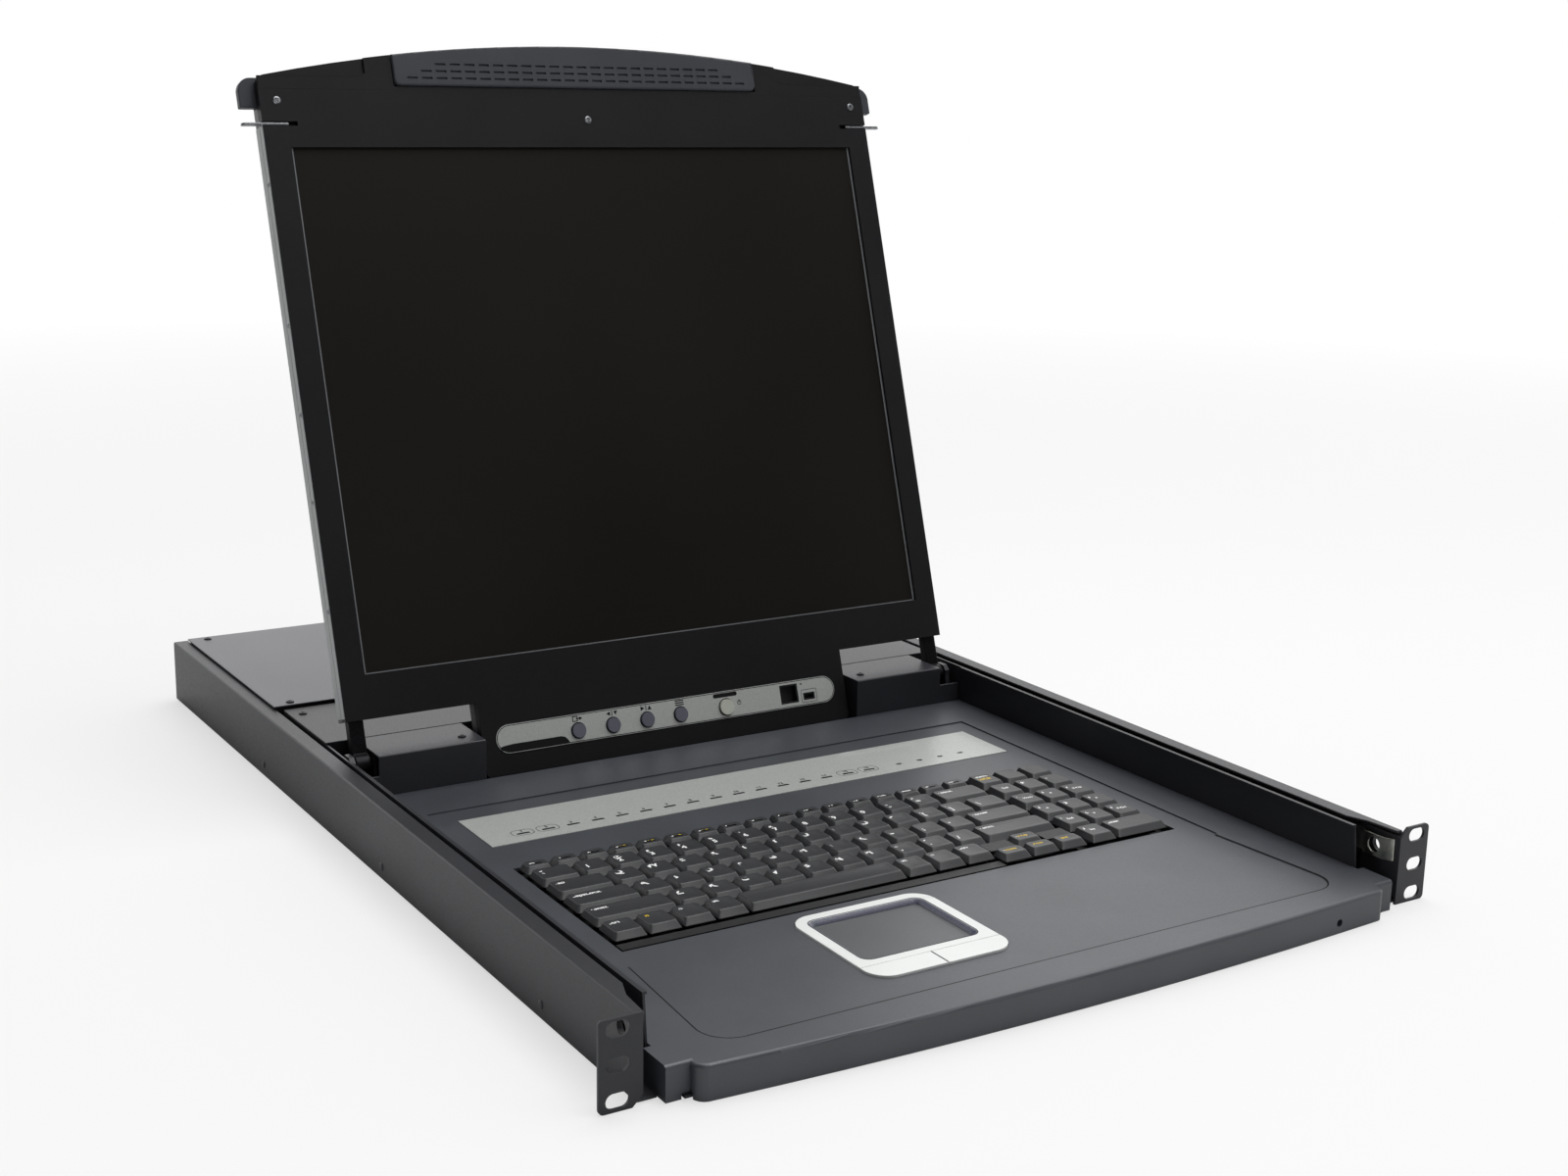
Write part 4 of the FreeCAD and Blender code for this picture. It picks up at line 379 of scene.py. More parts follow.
# Keys: the rows of the key field, with widths in key units and what is printed on each key
keyField = {
    "unit": 18.75, "rowDeep": 19.4, "left": -171.9, "front": 113.0, "flapDeep": 7.3, "padGap": 2.5,
    "gap": 1.2, "top": -1.0, "foot": -4.6,
    "mainUnits": 15, "arrowStart": 12, "padUnits": 3,      # in key units across
}
capSet = {
    "half": 6.0,          # half width and depth of the cap that is copied
    "sideSlope": 1.7, "rearSlope": 0.75, "frontSlope": 3.2,
    "footRound": 0.9, "topRound": 1.7, "arcSteps": 3,
    # share of the slope that is used up, and the height over the foot or under the top
    "skirtLow": ((0.0, 0.0), (0.1, 0.35)), "skirtHigh": ((0.86, 0.55), (0.95, 0.2)),
    "rim": ((0.15, 0.02), (0.55, 0.0)), "dishIn": 2.4, "dishDeep": 0.32,
}
keyRows = {
    "bottom_row_keys": [(1, "Ctrl"), (1, "Fn*"), (1, "#menu"), (1, "Alt"), (5, "space"), (1, "Alt"),
                        (1, "#menu"), (1, "Ctrl")],
    "shift_row_keys": [(2.5, "#up Shift")] + [(1, letter) for letter in "ZXCVBNM"]
                      + [(1, "< ,"), (1, "> ."), (1, "? /"), (2.5, "#up Shift")],
    "home_row_keys": [(2, "CapsLock")] + [(1, letter) for letter in "ASDFGHJKL"]
                     + [(1, ": ;"), (1, "\" '"), (2, "#left Enter")],
    "upper_row_keys": [(1.75, "Tab")] + [(1, letter) for letter in "QWERTYUIOP"]
                      + [(1, "{ ["), (1, "} ]"), (1.25, "| \\")],
    "number_row_keys": [(1.25, "~ `")] + [(1, pair) for pair in (
        "! 1", "@ 2", "# 3", "$ 4", "% 5", "^ 6", "& 7", "* 8", "( 9", ") 0", "_ -", "+ =")]
        + [(1.75, "#left Back")],
}
functionKeys = ["Esc", "F1", "F2", "F3*", "F4*", "F5*", "F6*", "F7", "F8", "F9", "F10", "F11", "F12",
                "PrtSc", "Pause", "Ins", "Del"]
padKeys = [["0 Ins", "Enter"], ["1 End", "2 #down", "3 PgDn"], ["4 #left", "5", "6 #right"],
           ["7 Home", "8 #up", "9 PgUp"], [". Del", "+", "-"], ["NumLk*", "/", "*"]]


def layOutKeys():
    # every key as its body, its two corners and its legend
    field = keyField
    unit, deep, left = field["unit"], field["rowDeep"], field["left"]
    mainFront = field["front"] + field["flapDeep"]
    keys = []
    for row, (body, units) in enumerate(keyRows.items()):
        x, y = left, mainFront + row * deep
        for width, legend in units:
            owner = "space_bar" if legend == "space" else body
            keys.append((owner, x, x + width * unit, y, y + deep, legend))
            x += width * unit
    arrowLeft = left + field["arrowStart"] * unit
    middle = field["front"] + (field["flapDeep"] + deep) / 2
    for step, legend in enumerate(("#left Home*", "#down PgDn*", "#right End*")):
        keys.append(("bottom_row_keys", arrowLeft + step * unit, arrowLeft + (step + 1) * unit,
                     field["front"], middle, legend))
    keys.append(("bottom_row_keys", arrowLeft + unit, arrowLeft + 2 * unit, middle, mainFront + deep,
                 "#up PgUp*"))
    rows = len(keyRows)
    width = field["mainUnits"] * unit / len(functionKeys)
    for step, legend in enumerate(functionKeys):
        keys.append(("function_row_keys", left + step * width, left + (step + 1) * width,
                     mainFront + rows * deep, field["front"] + (rows + 1) * deep, legend))
    padLeft = left + field["mainUnits"] * unit + field["padGap"]
    width = (field["padUnits"] * unit - field["padGap"]) / field["padUnits"]
    for row, legends in enumerate(padKeys):
        y = field["front"] + row * deep
        for column, legend in enumerate(legends):
            wide = 2 if legend == "Enter" else 1
            keys.append(("number_pad_keys", padLeft + column * width, padLeft + (column + wide) * width,
                         y, y + deep, legend))
    return keys


def makeCapMesh():
    # rings of one cap from its foot over the rounded rim down into the dish
    half, top, foot = capSet["half"], keyField["top"], keyField["foot"]
    rings = [(part, 0.0, foot + over) for part, over in capSet["skirtLow"]]
    rings += [(part, 0.0, top - under) for part, under in capSet["skirtHigh"]]
    rings += [(1.0, inset, top - under) for inset, under in capSet["rim"]]
    rings.append((1.0, capSet["dishIn"], top - capSet["dishDeep"]))
    verts, signs, faces = [], [], []
    steps = capSet["arcSteps"]
    count = 4 * (steps + 1)
    for part, inset, z in rings:
        radius = capSet["footRound"] + (capSet["topRound"] - capSet["footRound"]) * part
        side = half - capSet["sideSlope"] * part - inset
        rear = half - capSet["rearSlope"] * part - inset
        front = half - capSet["frontSlope"] * part - inset
        for quarter, (signX, signY) in enumerate(((1, 1), (-1, 1), (-1, -1), (1, -1))):
            reach = rear if signY > 0 else front
            for step in range(steps + 1):
                angle = math.radians(90 * (quarter + step / steps))
                verts.append((signX * (side - radius) + radius * math.cos(angle),
                              signY * (reach - radius) + radius * math.sin(angle), z))
                signs.append((signX, signY, 0))
    for ring in range(len(rings) - 1):
        for step in range(count):
            a, b = ring * count + step, ring * count + (step + 1) % count
            faces.append((a, b, b + count, a + count))
    faces.append(tuple(range(count - 1, -1, -1)))
    faces.append(tuple(range(len(verts) - count, len(verts))))
    mesh = pointMesh("capShape", [Vector(place) * mm for place in verts], "cornerSign", signs)
    shape = bmesh.new()
    shape.from_mesh(mesh)
    shape.verts.ensure_lookup_table()
    for face in faces:
        shape.faces.new([shape.verts[index] for index in face]).smooth = True
    shape.to_mesh(mesh)
    shape.free()
    return mesh


def makeCapTree():
    # a cap on every point, then its corners drawn out to the key's own size
    tree, sockets = newGeometryTree("keyCaps", (
        ("Cap", "NodeSocketObject"), ("Cap Half", "NodeSocketVector"), ("Material", "NodeSocketMaterial")))
    given = addNode(tree, "NodeGroupInput")
    cap = addNode(tree, "GeometryNodeObjectInfo", None, {"Object": given.outputs["Cap"]})
    caps = addNode(tree, "GeometryNodeInstanceOnPoints", None,
                   {"Points": given.outputs["Geometry"], "Instance": cap.outputs["Geometry"]})
    solid = addNode(tree, "GeometryNodeRealizeInstances", None, {"Geometry": caps.outputs["Instances"]})
    half = addNode(tree, "GeometryNodeInputNamedAttribute",
                   {"data_type": "FLOAT_VECTOR", "Name": "keyHalf"})
    sign = addNode(tree, "GeometryNodeInputNamedAttribute",
                   {"data_type": "FLOAT_VECTOR", "Name": "cornerSign"})
    more = addNode(tree, "ShaderNodeVectorMath", {"operation": "SUBTRACT"},
                   {0: half.outputs["Attribute"], 1: given.outputs["Cap Half"]})
    shift = addNode(tree, "ShaderNodeVectorMath", {"operation": "MULTIPLY"},
                    {0: more.outputs["Vector"], 1: sign.outputs["Attribute"]})
    drawn = addNode(tree, "GeometryNodeSetPosition", None,
                    {"Geometry": solid.outputs["Geometry"], "Offset": shift.outputs["Vector"]})
    coloured = addNode(tree, "GeometryNodeSetMaterial", None,
                       {"Geometry": drawn.outputs["Geometry"], "Material": given.outputs["Material"]})
    addNode(tree, "NodeGroupOutput", None, {"Geometry": coloured.outputs["Geometry"]})
    return tree, sockets


keys = layOutKeys()
capPattern = bpy.data.objects.new("capPattern", makeCapMesh())
capTree, capSockets = makeCapTree()
for body in dict.fromkeys(key[0] for key in keys):
    places, halves = [], []
    for owner, x0, x1, y0, y1, legend in keys:
        if owner == body:
            places.append(Vector(((x0 + x1) / 2, (y0 + y1) / 2, 0)) * mm)
            wide, deep = x1 - x0 - keyField["gap"], y1 - y0 - keyField["gap"]
            halves.append(Vector((wide / 2, deep / 2, 0)) * mm)
    piece = linkMesh(body + "_caps", pointMesh(body + "_caps", places, "keyHalf", halves), None)
    caps = piece.modifiers.new("keyCaps", "NODES")
    caps.node_group = capTree
    caps[capSockets["Cap"]] = capPattern
    caps[capSockets["Cap Half"]] = Vector((capSet["half"], capSet["half"], 0)) * mm
    caps[capSockets["Material"]] = materials["key"]
    bakeModifiers(piece)
    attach(piece, nodeBodies[body])
    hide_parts(body)
print("key caps made:", len(keys))


# Printing: flat letters and marks, gathered into one mesh for each body and ink. A sheet names its body and
# its ink, and its plane turns the sheet's own mm, across and up, to the place where it lies
# Some dark marks are painted shade, and the grey lines along the screen a painted highlight
glyphSet = {"bold": 0.036, "capital": 0.72}     # stroke thickening, and how high capitals are
glyphStore = {}
inkSheets = {}


def glyphShape(text):
    # the letters as a flat mesh of unit size, made once for each text
    if text not in glyphStore:
        curve = bpy.data.curves.new("letters", "FONT")
        curve.body = text
        curve.resolution_u = 2
        curve.offset = glyphSet["bold"]
        letters = bpy.data.objects.new("letters", curve)
        mesh = bpy.data.meshes.new_from_object(letters)
        glyphStore[text] = ([vertex.co.copy() for vertex in mesh.vertices],
                            [tuple(face.vertices) for face in mesh.polygons])
        bpy.data.objects.remove(letters)
        bpy.data.meshes.remove(mesh)
        bpy.data.curves.remove(curve)
    return glyphStore[text]


def printShape(sheet, points, faces=None):
    # without faces, the points are one filled outline
    body, ink, plane = sheet
    verts, shapes = inkSheets.setdefault((body, ink), ([], []))
    start = len(verts)
    verts.extend(plane @ Vector((x, y, 0)) for x, y in points)
    shapes.extend(tuple(start + index for index in face) for face in faces or [range(len(points))])


def printText(sheet, text, x, y, high, middle=False):
    verts, faces = glyphShape(text)
    size = high / glyphSet["capital"]
    wide = max(place.x for place in verts)
    shift = wide / 2 if middle else 0.0
    printShape(sheet, [((place.x - shift) * size + x, place.y * size + y) for place in verts], faces)
    return wide * size


def printArrow(sheet, way, x, y, size):
    turn = Matrix.Rotation(math.radians({"right": 0, "up": 90, "left": 180, "down": 270}[way]), 3, "Z")
    corners = [turn @ Vector(place) * size for place in ((-0.45, -0.5, 0), (0.5, 0, 0), (-0.45, 0.5, 0))]
    printShape(sheet, [(place.x + x, place.y + y) for place in corners])


def printBox(sheet, x0, x1, y0, y1):
    printShape(sheet, [(x0, y0), (x1, y0), (x1, y1), (x0, y1)])


def roundedLoop(x0, x1, y0, y1, radius, steps=5):
    # a rectangle with rounded corners, anticlockwise
    loop = []
    for quarter, (cornerX, cornerY) in enumerate(((x1 - radius, y1 - radius), (x0 + radius, y1 - radius),
                                                  (x0 + radius, y0 + radius), (x1 - radius, y0 + radius))):
        for step in range(steps + 1):
            angle = math.radians(90 * (quarter + step / steps))
            loop.append((cornerX + radius * math.cos(angle), cornerY + radius * math.sin(angle)))
    return loop


def printRing(sheet, x0, x1, y0, y1, radius, line):
    # an outline of the given line width, inside the rounded rectangle
    outer = roundedLoop(x0, x1, y0, y1, radius)
    inner = roundedLoop(x0 + line, x1 - line, y0 + line, y1 - line, max(radius - line, 0.01))
    count = len(outer)
    printShape(sheet, outer + inner, [(step, (step + 1) % count, count + (step + 1) % count, count + step)
                                      for step in range(count)])


def printMarks(sheet, x, y, marks):
    # about x and y: ("arrow", way, x, y, size), ("field", points), or "box", "ring" or "plate" with
    # x0, x1, y0, y1, the corner radius and the line's width
    for kind, *given in marks:
        if kind == "arrow":
            way, across, up, size = given
            printArrow(sheet, way, x + across, y + up, size)
        elif kind == "field":
            printShape(sheet, [(x + across, y + up) for across, up in given[0]])
        else:
            x0, x1, y0, y1, *more = given
            sides = (x + x0, x + x1, y + y0, y + y1)
            if kind == "box":
                printBox(sheet, *sides)
            elif kind == "ring":
                printRing(sheet, *sides, *more)
            else:
                printShape(sheet, roundedLoop(*sides, *more))


def flatPlane(z):
    return restTurn @ Matrix.Translation((0, 0, z))


def lidPlane(forward):
    # upright on the lid, facing the user, the given mm before the hinge plane
    return lidTurn @ Matrix(((1, 0, 0, 0), (0, 0, -1, -forward), (0, 1, 0, 0), (0, 0, 0, 1)))


legendSet = {
    "letter": 5.0, "pair": 3.8, "word": 3.0, "low": 2.5, "small": 2.1,     # heights
    "in": 3.2, "rear": 2.2, "lift": 0.04,       # from the key's left and rear edges, and off the cap
    "flatKey": 15.0,        # keys less deep than this have small legends
    "second": 2.5,          # lines between a word and the one in front of it, in heights
    "play": [("arrow", "right", 1.6, -1.0, 1.5), ("box", 2.8, 4.6, -1.9, -0.2)],
    "menu": [("box", 0.0, 4.2, -1.2, 0.0), ("box", 0.6, 3.6, -2.2, -1.8), ("box", 0.6, 3.6, -3.2, -2.8)],
    "arrowIn": 1.0, "arrowWord": 3.0, "flatWord": (2.8, 3.0),
    "pairArrow": (5.6, 1.4, 1.9), "pairWord": (3.8, 2.6), "pairLow": (1.6, 1.2),
}


def printSingle(sheet, text, x, rear, high):
    # one letter or word; a yellow second function stands beside or before it
    body, ink, plane = sheet
    plain = "inkWhite" if text in ("F3", "F4", "F5", "F6", "NumLk") else ink
    along = x + printText((body, plain, plane), text, x, rear - high, high)
    if plain == ink:
        return
    if text == "NumLk":
        printText(sheet, "ScrLk", x, rear - legendSet["second"] * high, high)
    else:
        printMarks(sheet, along, rear, legendSet["play"])


def printArrowWord(sheet, way, word, x, rear, flat):
    body, ink, plane = sheet
    mark = legendSet["word"]
    printArrow((body, "inkWhite", plane), way, x + legendSet["arrowIn"], rear - legendSet["arrowIn"], mark)
    if flat:
        inX, down = legendSet["flatWord"]
        printText(sheet, word, x + inX, rear - down, legendSet["small"])
    else:
        printText(sheet, word, x + legendSet["arrowWord"], rear - mark, mark)


def printPair(sheet, first, second, x, rear):
    high = legendSet["pair"]
    printText(sheet, first, x, rear - high, high)
    if second[0] == "#":
        inX, down, size = legendSet["pairArrow"]
        printArrow(sheet, second[1:], x + inX, rear - high - down, size)
    elif len(second) > 1:
        inX, down = legendSet["pairWord"]
        printText(sheet, second, x + inX, rear - high - down, legendSet["small"])
    else:
        inX, down = legendSet["pairLow"]
        printText(sheet, second, x + inX, rear - 2 * high - down, high)


def printLegend(key, plane):
    # a star at the end asks for yellow, a word after # is an arrow's way or the menu mark
    node, x0, x1, y0, y1, legend = key
    ink = "inkYellow" if legend.endswith("*") and len(legend) > 1 else "inkWhite"
    sheet = (nodeBodies[node], ink, plane)
    words = (legend[:-1] if ink == "inkYellow" else legend).split(" ")
    x, rear = x0 + legendSet["in"], y1 - legendSet["rear"]
    flat = y1 - y0 < legendSet["flatKey"]
    if words[0] == "#menu":
        printMarks(sheet, x, rear, legendSet["menu"])
    elif len(words) == 1 and words[0] != "space":
        long = len(words[0]) > 1
        if flat:
            high = legendSet["low"] if long else legendSet["word"]
        else:
            high = legendSet["word"] if long else legendSet["letter"]
        printSingle(sheet, words[0], x, rear, high)
    elif words[0][0] == "#" and len(words[0]) > 1:
        printArrowWord(sheet, words[0][1:], words[1], x, rear, flat)
    elif len(words) == 2:
        printPair(sheet, words[0], words[1], x, rear)


for key in keys:
    printLegend(key, flatPlane(keyField["top"] - capSet["dishDeep"] + legendSet["lift"]))
print("legends printed")


# Indicator strip on the deck: a number and a dark surround for each window, an oval round the outer pairs
stripSet = {
    "z": -4.47, "line": 275.5, "start": -147.0, "pitch": 14.9, "count": 16, "digit": 2.5, "digitUp": 2.3,
    "window": [("box", -2.7, 2.7, -0.9, 0.8)],
    "oval": [("ring", -6.4, 6.4, -3.1, 5.3, 3.1, 0.4)], "ovals": (0, 1, 14, 15),
    "dot": [("box", -1.9, 1.9, -0.9, 0.9)], "dots": (98.0, 113.0, 128.0, 143.0),
}
stripSheet, line = ("drawer", "inkDark", flatPlane(stripSet["z"])), stripSet["line"]
for step in range(stripSet["count"]):
    x = stripSet["start"] + step * stripSet["pitch"]
    printText(stripSheet, str(step + 1), x, line + stripSet["digitUp"], stripSet["digit"], True)
    printMarks(stripSheet, x, line, stripSet["window"])
    if step in stripSet["ovals"]:
        printMarks(stripSheet, x, line, stripSet["oval"])
for x in stripSet["dots"]:
    printMarks(stripSheet, x, line, stripSet["dot"])
print("indicator strip printed")


# Control strip on the lid: an outline, rings round the buttons, plain signs over them, bare dark fields
osdSet = {
    "face": 5.13, "buttons": (-64.2, -41.1, -18.0, 5.1), "power": 37.4, "buttonLine": 0.2, "signLine": 7.3,
}
leaveX, downX, upX, menuX = osdSet["buttons"]
powerX, ringY, signY = osdSet["power"], osdSet["buttonLine"], osdSet["signLine"]
osdMarks = [
    (0.0, 0.0, [("ring", -116.75, 116.75, -6.35, 9.75, 8.05, 0.45)]),
    *[(x, ringY, [("ring", -5.05, 5.05, -5.05, 5.05, 5.05, 0.45)]) for x in osdSet["buttons"]],
    (powerX, ringY, [("ring", -5.55, 5.55, -5.55, 5.55, 5.55, 0.45)]),
    # leave: an open box with an arrow out of it
    (leaveX, signY, [("ring", -3.2, 0.4, -1.7, 1.7, 0.3, 0.6), ("box", -0.8, 1.8, -0.35, 0.35),
                     ("arrow", "right", 2.4, 0.0, 2.2)]),
    # two pairs of arrows, then three lines for the menu
    (downX, signY, [("arrow", "left", -2.4, 0.0, 2.7), ("box", -0.28, 0.28, -1.6, 1.6),
                    ("arrow", "down", 2.4, 0.0, 2.7)]),
    (upX, signY, [("arrow", "right", -2.4, 0.0, 2.7), ("box", -0.28, 0.28, -1.6, 1.6),
                  ("arrow", "up", 2.4, 0.0, 2.7)]),
    (menuX, signY, [("box", -3.0, 3.0, up - 0.36, up + 0.36) for up in (-1.3, 0.0, 1.3)]),
    (0.0, 0.0, [("field", ((-106.5, -6.2), (-70.5, -6.2), (-71.6, -4.2), (-73.4, -2.2), (-76.0, -1.5),
                           (-107.0, -1.5), (-112.0, -1.9), (-115.6, -2.6), (-114.4, -4.4), (-111.0, -6.0)))]),
    # a field over the power button, and its sign: a ring with a stroke
    (powerX, 0.0, [("plate", -8.5, 8.5, 6.4, 9.0, 1.2), ("ring", 8.0, 10.8, 0.4, 3.2, 1.4, 0.4),
                   ("box", 9.15, 9.65, 1.9, 3.8)]),
    # a pointer beside the jack and a frame round the service port
    (0.0, 0.0, [("arrow", "left", 92.6, 7.2, 1.6), ("ring", 92.0, 103.6, -4.9, 3.4, 1.0, 0.3)]),
]
for x, y, marks in osdMarks:
    printMarks(("lid", "inkDark", lidPlane(osdSet["face"])), x, y, marks)
print("control strip printed")


# Screen: a painted highlight, a thin pale line along the opening where the bezel's edge catches light
screenSet = {"face": 2.74, "lines": [("box", -190.0, 190.0, 50.2, 50.9), ("box", -190.0, -188.7, 50.2, 352.9),
                                     ("box", 188.7, 190.0, 50.2, 352.9)]}
printMarks(("lid", "inkGrey", lidPlane(screenSet["face"])), 0.0, 0.0, screenSet["lines"])


# Palm rest: the groove round it lies in shade
palmSet = {
    "rearHalf": 180.0, "frontHalf": 185.0, "front": 4.0, "rear": 92.0, "round": 16.0, "cornerSteps": 8,
    "inside": 0.1, "line": 0.75, "z": -4.05,
}


def palmPath(inset):
    # from the rear left end round both front corners to the rear right end
    wide, radius = palmSet["frontHalf"] - inset, palmSet["round"] - inset
    front, steps = palmSet["front"] + inset, palmSet["cornerSteps"]
    path = [(inset - palmSet["rearHalf"], palmSet["rear"])]
    for middle, first in ((radius - wide, 180), (wide - radius, 270)):
        for step in range(steps + 1):
            angle = math.radians(first + 90 * step / steps)
            path.append((middle + radius * math.cos(angle), front + radius + radius * math.sin(angle)))
    path.append((palmSet["rearHalf"] - inset, palmSet["rear"]))
    return path


outside, inside = palmPath(palmSet["inside"]), palmPath(palmSet["inside"] + palmSet["line"])
count = len(outside)
printShape(("drawer", "inkDark", flatPlane(palmSet["z"])), outside + inside,
           [(step, step + 1, count + step + 1, count + step) for step in range(count - 1)])


# Touchpad: a dark split between the buttons, a ring of painted shade round the pad's opening, and a sloped rim
# down to the pad
padSet = {
    "x": (-82.0, -15.4), "y": (43.8, 95.8), "round": 5.0, "print": -3.47,
    "shadeOut": 0.75, "shade": 0.55, "split": (-49.5, -48.9, 23.7, 37.7),
    # inwards and down from the frame's opening to the pad
    "slope": ((0.0, -3.6), (0.7, -3.85), (1.5, -4.6), (2.1, -5.4), (2.3, -5.88), (0.0, -5.88)),
}
padPlane, out = flatPlane(padSet["print"]), padSet["shadeOut"]
printBox(("touchpad_button_left", "inkDark", padPlane), *padSet["split"])
# painted shade: a dark ring on the frame round the pad's opening
printRing(("drawer", "inkDark", padPlane), padSet["x"][0] - out, padSet["x"][1] + out,
          padSet["y"][0] - out, padSet["y"][1] + out, padSet["round"] + out, padSet["shade"])


def makePadRim():
    verts, faces = [], []
    for inset, z in padSet["slope"]:
        loop = roundedLoop(padSet["x"][0] + inset, padSet["x"][1] - inset, padSet["y"][0] + inset,
                           padSet["y"][1] - inset, padSet["round"] - inset)
        verts.extend(restTurn @ Vector((x, y, z)) for x, y in loop)
    count = len(loop)
    rings = len(padSet["slope"])
    for ring in range(rings):
        below = (ring + 1) % rings
        for step in range(count):
            following = (step + 1) % count
            faces.append((ring * count + step, ring * count + following,
                          below * count + following, below * count + step))
    mesh = bpy.data.meshes.new("padRim")
    mesh.from_pydata(verts, [], faces)
    rim = linkMesh("touchpad_rim", mesh, materials["rim"])
    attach(rim, "drawer")


makePadRim()
print("touchpad finished")


# Screws and rivets
headSet = {
    "steps": 24, "under": 0.2,      # how far a head reaches below the face it sits on
    "screw": 2.5, "screwHigh": 0.8, "recess": 0.55, "recessFoot": (1.1, 0.3), "recessRim": (1.35, 0.42),
    "rivet": 2.3, "rivetHigh": 0.7,
    # share of the radius and of the height, from the middle outwards
    "screwDome": ((0.66, 1.0), (0.9, 0.78), (1.0, 0.35)), "rivetDome": ((0.3, 1.0), (0.65, 0.86), (0.9, 0.5)),
    "rivetRim": 0.05,
}


def turnedHead(name, rings):
    # rings of (radius, height) from the top's middle outwards and down; a radius may change with the angle
    steps = headSet["steps"]
    verts, faces = [], []
    for radius, z in rings:
        for step in range(steps):
            angle = math.radians(360 * step / steps)
            reach = radius(angle) if callable(radius) else radius
            verts.append(Vector((reach * math.cos(angle), reach * math.sin(angle), z)) * mm)
    for ring in range(len(rings) - 1):
        for step in range(steps):
            a, b = ring * steps + step, ring * steps + (step + 1) % steps
            faces.append((a, a + steps, b + steps, b))
    faces.append(tuple(range(steps)))
    faces.append(tuple(range(len(verts) - 1, len(verts) - steps - 1, -1)))
    mesh = bpy.data.meshes.new(name)
    mesh.from_pydata(verts, [], faces)
    return bpy.data.objects.new(name, mesh)


def crossReach(length, half):
    # outline of a cross recess, as the distance from its middle at an angle
    def reach(angle):
        across, along = abs(math.sin(angle)), abs(math.cos(angle))
        first = min(length / max(along, 1e-6), half / max(across, 1e-6))
        second = min(length / max(across, 1e-6), half / max(along, 1e-6))
        return max(first, second)
    return reach


def domeRings(radius, high, shares):
    return [(radius * out, high * up) for out, up in shares]


under = -headSet["under"]
screwHead = turnedHead("screwHead", [
    (crossReach(*headSet["recessFoot"]), headSet["screwHigh"] - headSet["recess"]),
    (crossReach(*headSet["recessRim"]), headSet["screwHigh"]),
    *domeRings(headSet["screw"], headSet["screwHigh"], headSet["screwDome"]), (headSet["screw"], under)])
rivetHead = turnedHead("rivetHead", [
    *domeRings(headSet["rivet"], headSet["rivetHigh"], headSet["rivetDome"]),
    (headSet["rivet"], headSet["rivetRim"]), (headSet["rivet"], under)])


def makeFastenerTree():
    # a head on every point, turned to face the point's vector and by a random angle about it
    tree, sockets = newGeometryTree("fasteners", (
        ("Head", "NodeSocketObject"), ("Seed", "NodeSocketInt"), ("Material", "NodeSocketMaterial")))
    given = addNode(tree, "NodeGroupInput")
    head = addNode(tree, "GeometryNodeObjectInfo", None, {"Object": given.outputs["Head"]})
    facing = addNode(tree, "GeometryNodeInputNamedAttribute",
                     {"data_type": "FLOAT_VECTOR", "Name": "facing"})
    size = addNode(tree, "ShaderNodeVectorMath", {"operation": "LENGTH"}, {0: facing.outputs["Attribute"]})
    upright = addNode(tree, "FunctionNodeAlignRotationToVector", {"axis": "Z"},
                      {"Vector": facing.outputs["Attribute"]})
    angle = addNode(tree, "FunctionNodeRandomValue", {"data_type": "FLOAT", 2: 0.0, 3: math.pi},
                    {"Seed": given.outputs["Seed"]})
    about = addNode(tree, "ShaderNodeCombineXYZ", None, {"Z": angle.outputs[1]})
    turn = addNode(tree, "FunctionNodeEulerToRotation", None, {"Euler": about.outputs["Vector"]})
    turned = addNode(tree, "FunctionNodeRotateRotation", {"rotation_space": "LOCAL"},
                     {"Rotation": upright.outputs["Rotation"], "Rotate By": turn.outputs["Rotation"]})
    heads = addNode(tree, "GeometryNodeInstanceOnPoints", None,
                    {"Points": given.outputs["Geometry"], "Instance": head.outputs["Geometry"],
                     "Rotation": turned.outputs["Rotation"], "Scale": size.outputs["Value"]})
    solid = addNode(tree, "GeometryNodeRealizeInstances", None, {"Geometry": heads.outputs["Instances"]})
    coloured = addNode(tree, "GeometryNodeSetMaterial", None,
                       {"Geometry": solid.outputs["Geometry"], "Material": given.outputs["Material"]})
    addNode(tree, "NodeGroupOutput", None, {"Geometry": coloured.outputs["Geometry"]})
    return tree, sockets


fastenerTree, fastenerSockets = makeFastenerTree()


# For each group: body, slot, head, finish, the turn of its place, and every head's place in mm with the way
# it faces, whose length is its size
sides = (-1, 1)
fasteners = {
    "cover_screws": ("chassis", "slide_steel", screwHead, "black", restTurn,
                     [((side * 203.5, y, 21.6), (0, 0, 1)) for side in sides for y in (484.5, 650.0)]),
    "wall_rivets": ("chassis", "coated_steel", rivetHead, "coat", restTurn,
                    [((side * 223.5, y, -12.5), (side, 0, 0)) for side in sides
                     for y in (92.0, 285.0, 477.0)]),
    "hinge_cover_screws": ("drawer", "slide_steel", screwHead, "black", restTurn,
                           [((side * x, y, 19.7), (0, 0, 1)) for x, y in ((138.0, 378.0), (202.7, 464.0))
                            for side in sides]),
    "bezel_screws": ("lid", "cast_metal", screwHead, "slide", lidTurn,
                     [((x, -4.7, z), (0, -0.95, 0)) for x, z in ((-195.0, 380.0), (195.0, 380.0),
                                                                 (0.0, 370.0))]),
    "lid_side_screws": ("lid", "cast_metal", screwHead, "slide", lidTurn,
                        [((side * 205.3, -1.9, z), (side * 0.6, 0, 0)) for side in sides
                         for z in (332.0, 251.0, 200.0, 150.0, 88.0)]),
}
fastenerSeed = 7
